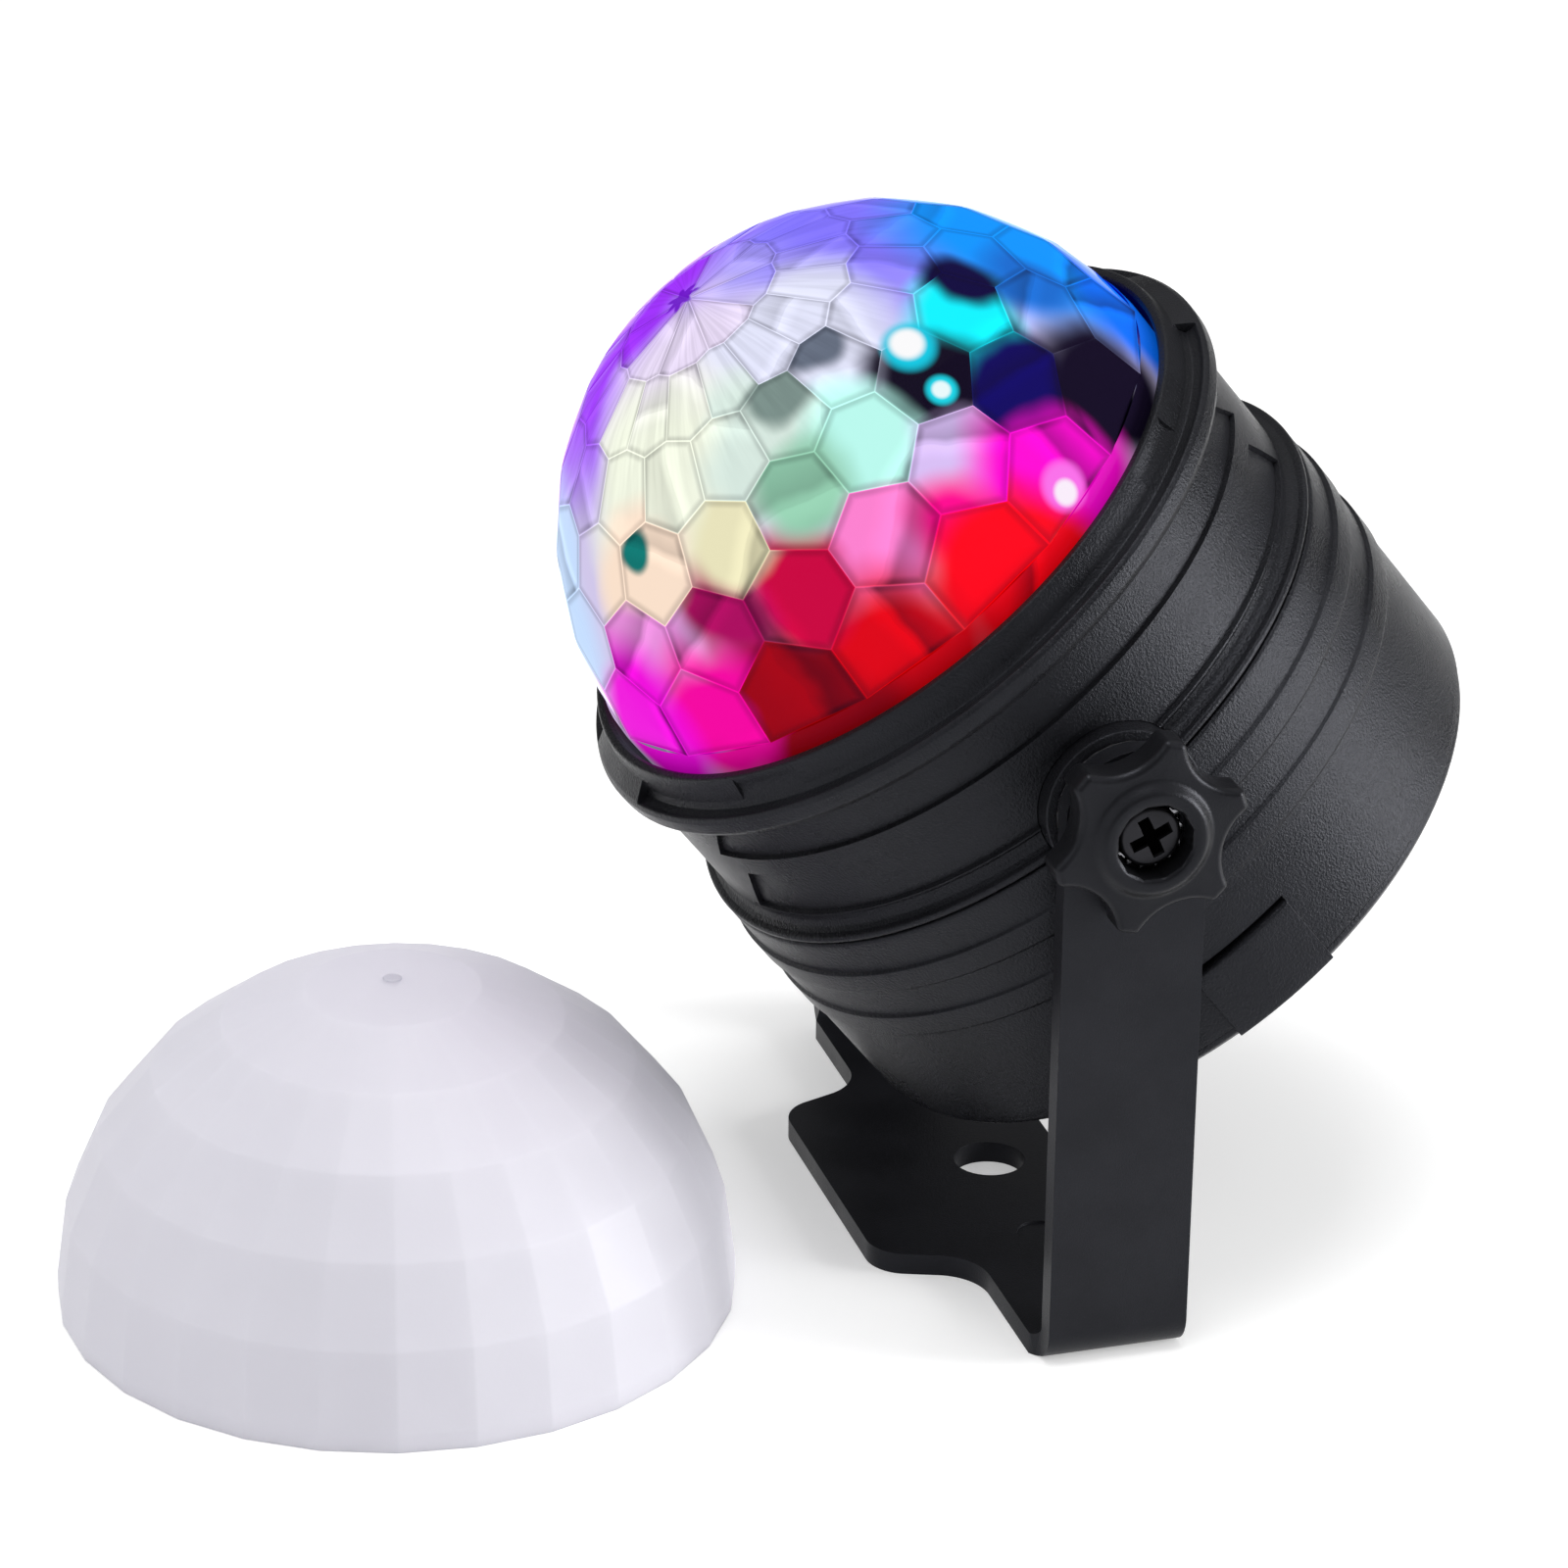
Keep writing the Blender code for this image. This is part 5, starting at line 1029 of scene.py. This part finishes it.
def bracket(look):
    """The U-shaped stand: base plate with wing, two arms, hole and shallow round marks."""
    inner_bend = BEND_R - ARM_THICKNESS
    across = ARM_OUTER - BEND_R
    top = PIVOT.z + ARM_TOP_R + OVERRUN
    inside = mirrored([(ARM_INNER, top)] + arc((across, BEND_R), inner_bend, 0, -pi / 2, INNER_BEND_STEPS))
    outside = mirrored([(ARM_OUTER, top)] + arc((across, BEND_R), BEND_R, 0, -pi / 2, BEND_STEPS))
    side_view = inside + outside[::-1]
    corner_y, fillet_y = WING_CORNER_R - WING_FRONT, -BASE_HALF_DEPTH - WING_FILLET_R
    corner_end = polar(WING_CORNER_R, -WING_LEAN)
    run = (fillet_y + WING_FILLET_R * sin(WING_LEAN) - corner_y - corner_end[1]) / cos(WING_LEAN)
    fillet_x = WING_HALF_WIDTH + corner_end[0] + run * sin(WING_LEAN) + WING_FILLET_R * cos(WING_LEAN)
    half = ARM_WIDTH / 2
    reach = ARM_OUTER + OVERRUN
    plan = arc((WING_HALF_WIDTH, corner_y), WING_CORNER_R, -pi / 2, -WING_LEAN, BEND_STEPS)
    plan += arc((fillet_x, fillet_y), WING_FILLET_R, pi - WING_LEAN, pi / 2, BEND_STEPS)
    plan += [(NECK_START, -BASE_HALF_DEPTH), (NECK_END, -half), (reach, -half), (reach, half),
             (NECK_END, half), (NECK_START, BASE_HALF_DEPTH)]
    foot = 2 * BEND_R
    deep = WING_FRONT + OVERRUN
    arch = arc((0, PIVOT.z), ARM_TOP_R, 0, pi, ARCH_STEPS)
    arch += [(-ARM_TOP_R, foot), (-deep, foot), (-deep, -OVERRUN), (deep, -OVERRUN), (deep, foot),
             (ARM_TOP_R, foot)]
    stand_up = Matrix.Rotation(pi / 2, 4, "X")
    side_on = Matrix.Rotation(pi / 2, 4, "Z") @ stand_up
    stand = solid("bracket_shell", plate(side_view, -deep, deep, stand_up))
    worked(stand, solid("plan", plate(mirrored(plan), -OVERRUN, top + OVERRUN)), "INTERSECT")
    worked(stand, solid("arch", plate(arch, -reach, reach, side_on)), "INTERSECT")
    hole = solid("hole", bars(BASE_HOLE_R, -OVERRUN, ARM_THICKNESS + OVERRUN))
    marks = solid("marks", bars(MARK_R, ARM_THICKNESS - MARK_DEPTH, ARM_THICKNESS + OVERRUN,
                                ((MARK_X, 0), (-MARK_X, 0))))
    pivots = solid("pivots", bars(PIVOT_HOLE_R, -reach, reach, place=Matrix.Translation((0, 0, PIVOT.z))
                                  @ Matrix.Rotation(pi / 2, 4, "Y")))
    worked(stand, joined(hole, marks, pivots), "DIFFERENCE")
    eased(stand, ARM_EDGE, BEND_LIMIT)
    return place_piece(stand, look, "stand", ("bracket",),
                       Matrix.Translation((0, PIVOT.y, 0)))


def beside(side):
    """The place of a piece that is modelled along Z and lies along the tilt axis on one side."""
    return Matrix.Translation(PIVOT) @ Matrix.Rotation(side * pi / 2, 4, "Y")


def star(inset):
    """The knob's outline drawn in by an inset: round-cornered points with scallops between them."""
    drawn = max(inset, KNOB_CORNER_R)
    centre = KNOB_VALLEY_R + KNOB_SCALLOP_R
    tip, scallop = KNOB_TIP_R - drawn, KNOB_SCALLOP_R + drawn
    half = pi / KNOB_POINTS
    reach = acos(min((centre ** 2 + tip ** 2 - scallop ** 2) / (2 * centre * tip), 1))
    if reach > half:
        reach = half
        tip = centre * cos(half) - sqrt(scallop ** 2 - (centre * sin(half)) ** 2)
    corner_r = max(KNOB_CORNER_R - inset, 0)
    points = []
    for point in range(KNOB_POINTS):
        valley = KNOB_TURN + half + 2 * half * point
        middle = polar(centre, valley)
        before, after = polar(tip, valley - reach), polar(tip, valley + reach)
        first = atan2(before[1] - middle[1], before[0] - middle[0])
        last = atan2(after[1] - middle[1], after[0] - middle[0])
        bend = (first + pi - valley + reach) % tau
        points += arc(before, corner_r, valley - reach, valley - reach + bend, CORNER_STEPS)
        points += arc(middle, KNOB_SCALLOP_R + inset, first, first - (first - last) % tau,
                      SCALLOP_STEPS)[1:-1]
        points += arc(after, corner_r, valley + reach - bend, valley + reach, CORNER_STEPS)
    return points


def knob(name, side, body, look):
    """A star knob: six blunt points, soft edges, a raised hub and the recess for its screw."""
    turns = [atan2(y, x) for x, y in star(0)]
    form = bmesh.new()

    def crest(radius):
        share = min(max((KNOB_SLOPE_R - radius) / (KNOB_SLOPE_R - KNOB_CREST_R), 0), 1)
        return KNOB_TOP + KNOB_RISE * smooth(share)

    def round_ring(radius, height):
        return ring(form, radius, height, turns)

    def star_ring(inset, drop):
        return [form.verts.new((x, y, crest(Vector((x, y)).length) - drop)) for x, y in star(inset)]

    def recess_ring(radius, height):
        side_turn = pi / KNOB_RECESS_SIDES
        reach = [radius * cos(side_turn) / cos(remainder(turn, 2 * side_turn)) for turn in turns]
        return [form.verts.new((*polar(far, turn), height)) for far, turn in zip(reach, turns)]

    thick = KNOB_TOP - KNOB_PLATE
    rings = [round_ring(KNOB_HUB_R, KNOB_BACK), round_ring(KNOB_HUB_R, KNOB_PLATE)]
    for step in range(FOOT_STEPS + 1):
        lean = pi / 2 * step / FOOT_STEPS
        rings.append(star_ring(KNOB_FOOT * (1 - sin(lean)), thick - KNOB_FOOT * (1 - cos(lean))))
    for share in WALL_SHARES:
        rings.append(star_ring(0, KNOB_EDGE + share * (thick - KNOB_EDGE - KNOB_FOOT)))
    for step in range(EDGE_STEPS + 1):
        lean = pi / 2 * step / EDGE_STEPS
        rings.append(star_ring(KNOB_EDGE * (1 - cos(lean)), KNOB_EDGE * (1 - sin(lean))))
    for step in range(SLOPE_STEPS):
        radius = KNOB_SLOPE_R + (KNOB_CREST_R - KNOB_SLOPE_R) * step / SLOPE_STEPS
        rings.append(round_ring(radius, crest(radius)))
    top = KNOB_TOP + KNOB_RISE
    rings += [round_ring(KNOB_CREST_R, top), round_ring(KNOB_RECESS_R + KNOB_LIP, top),
              round_ring(KNOB_RECESS_R + KNOB_LIP / 3, top - KNOB_LIP / 3),
              recess_ring(KNOB_RECESS_R, top - KNOB_LIP), recess_ring(KNOB_RECESS_R, KNOB_FLOOR),
              round_ring(PIVOT_HOLE_R, KNOB_FLOOR), round_ring(PIVOT_HOLE_R, KNOB_BACK)]
    skin(form, rings, loop=True)
    piece = solid(name + "_shell", form, KNOB_SHARP)
    return place_piece(piece, look, body, (name,), beside(side))


def pivot_screw(name, side, body, look):
    """A cross-head pivot screw: its soft-edged head, shank and cross recess."""
    corners = ((0, SCREW_TOP, 0), (SCREW_HEAD_R, SCREW_TOP - SCREW_CROWN, SCREW_ROUNDING),
               (SCREW_HEAD_R, SCREW_SEAT, FINE_ROUNDING), (SCREW_SHANK_R, SCREW_SEAT, 0),
               (SCREW_SHANK_R, SCREW_END, SCREW_END_ROUNDING), (0, SCREW_END, 0))
    screw = solid("screw_shell", lathe(rounded(corners, SCREW_STEPS), around(FINE_STEPS), loop=False))
    half, wide = CROSS_LENGTH / 2, CROSS_WIDTH / 2
    arm = [(half, -wide), (half, wide), (wide, wide)]
    cross = [(x * cos(turn) - y * sin(turn), x * sin(turn) + y * cos(turn))
             for turn in (CROSS_TURN + pi / 2 * quarter for quarter in range(4)) for x, y in arm]
    sizes = ((CROSS_FLOOR_SHARE, SCREW_TOP - CROSS_DEPTH), (1, SCREW_TOP),
             (CROSS_MOUTH_SHARE, SCREW_TOP + OVERRUN))
    form = bmesh.new()
    skin(form, [[form.verts.new((x * share, y * share, height)) for x, y in cross]
                for share, height in sizes])
    form.verts.ensure_lookup_table()
    count = len(cross)
    form.faces.new(form.verts[:count])
    form.faces.new(form.verts[-count:])
    worked(screw, solid("cross", form), "DIFFERENCE")
    eased(screw, SCREW_SOFT, BEND_LIMIT)
    return place_piece(screw, look, body, (name,), beside(side))


def lock_washer(side, body, look):
    """The toothed washer under a pivot screw's head, in the knob's recess."""
    turns = around(4 * WASHER_TEETH)
    form = bmesh.new()

    def toothed(radius, height, bite=0, twist=0):
        spots = [(radius - bite * (number % 4 in (0, 1)), height + twist * (number % 4 in (1, 2)), turn)
                 for number, turn in enumerate(turns)]
        return [form.verts.new((*polar(far, turn), up)) for far, up, turn in spots]

    low, high = KNOB_FLOOR + WASHER_PLAY, KNOB_FLOOR + WASHER_PLAY + WASHER_THICKNESS
    rings = [toothed(WASHER_INNER_R, low), toothed(WASHER_INNER_R, high), toothed(WASHER_ROOT_R, high),
             toothed(WASHER_TIP_R, high, WASHER_BITE, WASHER_TWIST),
             toothed(WASHER_TIP_R, low, WASHER_BITE), toothed(WASHER_ROOT_R, low)]
    skin(form, rings, loop=True)
    return place_piece(solid("lock_washer", form), look, body, (), beside(side))


def diffuser_dome(look):
    """The white dome of flat facets with softened edges, its wall and the gate mark on its top."""
    def rows(radius, rise):
        turns = [pi / 2 * row / DIFFUSER_ROWS for row in range(DIFFUSER_ROWS + 1)]
        return [(radius * sin(turn), DIFFUSER_SKIRT + rise * cos(turn)) for turn in turns]

    rise = DIFFUSER_R - DIFFUSER_SKIRT
    outer = rows(DIFFUSER_R, rise)
    outer[0] = (0, outer[0][1])
    inner = rows(DIFFUSER_R - DIFFUSER_WALL, rise - DIFFUSER_WALL)
    inner[0] = (0, inner[0][1])
    rim = [(DIFFUSER_R, 0), (DIFFUSER_R - DIFFUSER_WALL, 0)]
    form = lathe(outer + rim + inner[::-1], around(DIFFUSER_SIDES), loop=False)
    dome = solid("diffuser_shell", form, DIFFUSER_SHARP)
    eased(dome, FACET_SOFT, 2 * DIFFUSER_SHARP)
    high, low = DIFFUSER_R + GATE_RISE, DIFFUSER_R - GATE_DEPTH
    gate = rounded(((0, high, 0), (GATE_TOP_R, high, GATE_EDGE), (GATE_FOOT_R, low, 0), (0, low, 0)))
    joined(dome, solid("mark", lathe(gate, around(FINE_STEPS), loop=False)))
    return place_piece(dome, look, "diffuser", ("diffuser_dome",),
                       Matrix.Translation((DIFFUSER_X, DIFFUSER_Y, 0)))


def facet_ways():
    """Directions of the crystal's facets: staggered rows round the apex."""
    ways = [direction(APEX_ROW, FACET_TURN + tau * facet / APEX_FACETS) for facet in range(APEX_FACETS)]
    for number, row in enumerate(FACET_ROWS):
        stagger = pi / FACETS_ROUND * (number % 2)
        ways += [direction(row, FACET_TURN + stagger + tau * facet / FACETS_ROUND)
                 for facet in range(FACETS_ROUND)]
    return ways


def clipped(points, normal, limit):
    """The part of a flat outline on the near side of a plane."""
    kept = []
    for here, there in zip(points, points[1:] + points[:1]):
        near, far = normal.dot(here) - limit, normal.dot(there) - limit
        if near <= 0:
            kept.append(here)
        if (near < 0) != (far < 0) and near != far:
            kept.append(here.lerp(there, near / (near - far)))
    return kept


def facet_outline(way, ways):
    """The corners of one facet: its tangent plane cut by its neighbours' and by the band."""
    across = way.orthogonal().normalized()
    up = way.cross(across)
    middle = way * FACET_PLANE_R
    points = [middle + across * x * DOME_R + up * y * DOME_R for x, y in ((1, 1), (-1, 1), (-1, -1), (1, -1))]
    for other in ways:
        if other is not way:
            points = clipped(points, other, FACET_PLANE_R)
    points = clipped(points, Vector((0, 0, -1)), -DOME_R * cos(BAND_ANGLE))
    return [here for here, there in zip(points, points[1:] + points[:1]) if (here - there).length > MERGE]


def crystal_dome(look):
    """The crystal dome: softly crowned facets over a smooth band, a skirt and the hollow inside."""
    ways = facet_ways()
    form = bmesh.new()
    facet = form.faces.layers.float_vector.new("facet")
    reach = form.verts.layers.float.new("reach")
    for way in ways:
        corners = facet_outline(way, ways)
        middle = sum(corners, Vector()) / len(corners)
        rim = [here.lerp(there, step / SIDE_STEPS) for here, there in zip(corners, corners[1:] + corners[:1])
               for step in range(SIDE_STEPS)]
        rings = [[form.verts.new(middle + way * FACET_CROWN)]]
        for share in FACET_RINGS:
            lift = way * (FACET_CROWN * (1 - share ** 2) - FACET_RIDGE * share ** RIDGE_POWER)
            rings.append([form.verts.new(middle.lerp(spot, share) + lift) for spot in rim])
            for vert in rings[-1]:
                vert[reach] = share
        before = len(form.faces)
        skin(form, rings)
        form.faces.ensure_lookup_table()
        for face in form.faces[before:]:
            face[facet] = way
    profile = [(DOME_R * sin(BAND_ANGLE), DOME_R * cos(BAND_ANGLE)), (DOME_R, DOME_R * cos(BAND_ANGLE) / 2),
               (DOME_R, 0), (DOME_SKIRT_R, DOME_SKIRT), (DOME_INNER_R, DOME_SKIRT)]
    profile += [(DOME_INNER_R * cos(turn), DOME_INNER_R * sin(turn))
                for turn in (pi / 2 * step / HOLLOW_STEPS for step in range(HOLLOW_STEPS + 1))]
    profile[-1] = (0, DOME_INNER_R)
    before = len(form.faces)
    skin(form, [ring(form, radius, height, around(COLUMNS) if radius else (0,))
                for radius, height in profile])
    form.faces.ensure_lookup_table()
    for face in form.faces[before:]:
        face[facet] = (0, 0, 0)
    bmesh.ops.rotate(form, matrix=Matrix.Rotation(HEAD_TILT, 3, "X"), verts=form.verts)
    dome = solid("crystal_shell", form, CRYSTAL_SHARP)
    return place_piece(dome, look, "dome", ("crystal_dome",),
                       Matrix.Translation(HEAD @ Vector((0, 0, DOME_CENTRE))))


def dressed(names, look):
    """The frame's own pieces under a look."""
    for name in names:
        node = frame["nodes"][name]
        node.data.materials.clear()
        node.data.materials.append(look)


def dress_inner_pieces():
    """Looks for the pieces that keep the frame's own shape."""
    steel = metal("steel", (0.55, 0.55, 0.56, 1), 0.28)
    dressed(("pivot_washer_right", "pivot_washer_left", "motor_shaft", "led_screw_1", "led_screw_2",
             "housing_screw_1", "housing_screw_2", "housing_screw_3", "board_screw_1", "board_screw_2"),
            steel)
    dressed([f"rear_cover_screw_{number}" for number in range(1, 5)],
            metal("dark_metal", (0.02, 0.02, 0.022, 1), 0.38))
    dressed(("pivot_insert_right", "pivot_insert_left"), metal("brass", (0.7, 0.5, 0.2, 1), 0.3))
    dressed(("heat_sink", "drive_motor"), metal("aluminium", (0.6, 0.61, 0.63, 1), 0.4))
    dressed(("ring_gear", "motor_pinion"), moulded("nylon", (0.78, 0.77, 0.72, 1), 0.5))
    dressed(("lead_connector",), moulded("connector_white", (0.8, 0.79, 0.74, 1), 0.45))
    dressed(("control_board",), circuit_board("green_board", (0.015, 0.13, 0.05, 1), (0.06, 0.28, 0.1, 1)))
    dressed(("led_board",), circuit_board("white_board", (0.75, 0.75, 0.73, 1), (0.55, 0.56, 0.54, 1)))
    dressed(("driver_chip", "microphone", "capacitor", "dc_socket"),
            moulded("chip_plastic", (0.02, 0.02, 0.021, 1), 0.5))
    dressed(("led_lead", "motor_lead", "power_lead"), moulded("red_wire", (0.5, 0.03, 0.03, 1), 0.4))
    for name, colour in (("red_led", (0.9, 0.04, 0.03, 1)), ("green_led", (0.04, 0.8, 0.1, 1)),
                         ("blue_led", (0.03, 0.08, 0.95, 1)), ("white_led", (0.95, 0.93, 0.8, 1))):
        dressed((name,), lamp_lens(name + "_lens", colour))


def softbox(name, azimuth, elevation, distance, width, height, power):
    """A soft lamp, from its angle in plan and its angle up, turned to the middle of the subject."""
    lamp = bpy.data.lights.new(name, "AREA")
    lamp.shape = "RECTANGLE"
    lamp.size, lamp.size_y, lamp.energy = width, height, power
    level = distance * cos(elevation)
    way = Vector((level * sin(azimuth), -level * cos(azimuth), distance * sin(elevation)))
    obj = linked(name, lamp)
    obj.location = Vector((0, 0, SUBJECT_HEIGHT)) + way
    obj.rotation_euler = (-way).to_track_quat("-Z", "Y").to_euler()


def studio():
    """Pale floor, white surroundings and soft lamps."""
    w = Wiring("floor")
    path = w.add("LightPath").outputs
    ray = w.sum("MAXIMUM", w.sum("MAXIMUM", path["Is Camera Ray"], path["Is Glossy Ray"]),
                path["Is Transmission Ray"])
    cloud = w.noise(3, 2)
    tone = w.mixed(cloud, (0.8, 0.8, 0.8, 1), (0.82, 0.82, 0.82, 1))
    w.surface(Base_Color=tone, Roughness=0.6, Specular_IOR_Level=0.2, Emission_Color=(1, 1, 1, 1),
              Emission_Strength=w.sum("MULTIPLY", ray, FLOOR_GLOW))
    form = bmesh.new()
    bmesh.ops.create_grid(form, x_segments=1, y_segments=1, size=FLOOR_HALF)
    floor = solid("floor", form)
    floor.data.materials.append(w.material)
    world = bpy.data.worlds.new("studio")
    world.use_nodes = True
    tree = world.node_tree
    way = tree.nodes.new("ShaderNodeSeparateXYZ")
    tree.links.new(tree.nodes.new("ShaderNodeTexCoord").outputs["Generated"], way.inputs[0])
    sky = tree.nodes.new("ShaderNodeMapRange")
    sky.interpolation_type = "SMOOTHSTEP"
    for name, value in zip(("From Min", "From Max", "To Min", "To Max"), (*SKY_RISE, SKY_LOW, SKY_HIGH)):
        sky.inputs[name].default_value = value
    tree.links.new(way.outputs["Z"], sky.inputs["Value"])
    tree.nodes["Background"].inputs["Color"].default_value = (1, 1, 1, 1)
    tree.links.new(sky.outputs["Result"], tree.nodes["Background"].inputs["Strength"])
    bpy.context.scene.world = world
    bpy.context.scene.view_settings.view_transform = "Standard"
    for lamp in LAMPS:
        softbox(*lamp)


def camera():
    """The camera at the photograph's angle."""
    level = cos(CAMERA_ELEVATION)
    back = Vector((level * sin(CAMERA_AZIMUTH), -level * cos(CAMERA_AZIMUTH), sin(CAMERA_ELEVATION)))
    right = Vector((cos(CAMERA_AZIMUTH), sin(CAMERA_AZIMUTH), 0))
    up = back.cross(right)
    across = right * cos(CAMERA_ROLL) + up * sin(CAMERA_ROLL)
    upward = up * cos(CAMERA_ROLL) - right * sin(CAMERA_ROLL)
    lens = bpy.data.cameras.new("camera")
    lens.lens = CAMERA_LENS
    lens.sensor_width = CAMERA_SENSOR
    lens.clip_end = CAMERA_REACH
    obj = linked("camera", lens)
    obj.matrix_world = Matrix.Translation(CAMERA_PLACE) @ Matrix((across, upward, back)).transposed().to_4x4()
    bpy.context.scene.camera = obj


def main():
    """Dress the frame, then set up the studio."""
    black = black_plastic("black_plastic", *BARREL_LOOK)
    knob_black = black_plastic("knob_plastic", *KNOB_LOOK)
    screw_metal = black_steel()
    zinc = metal("zinc", (0.3, 0.3, 0.32, 1), 0.25)
    front_housing(black)
    rear_drum(black)
    rear_cover(black)
    bracket(black_plastic("bracket_plastic", *BRACKET_LOOK))
    for side, word in ((1, "right"), (-1, "left")):
        knob("knob_" + word, side, word + "_knob", knob_black)
        pivot_screw("pivot_screw_" + word, side, word + "_knob", screw_metal)
        lock_washer(side, word + "_knob", zinc)
    diffuser_dome(milky_plastic())
    crystal_dome(crystal())
    dress_inner_pieces()
    studio()
    camera()


main()
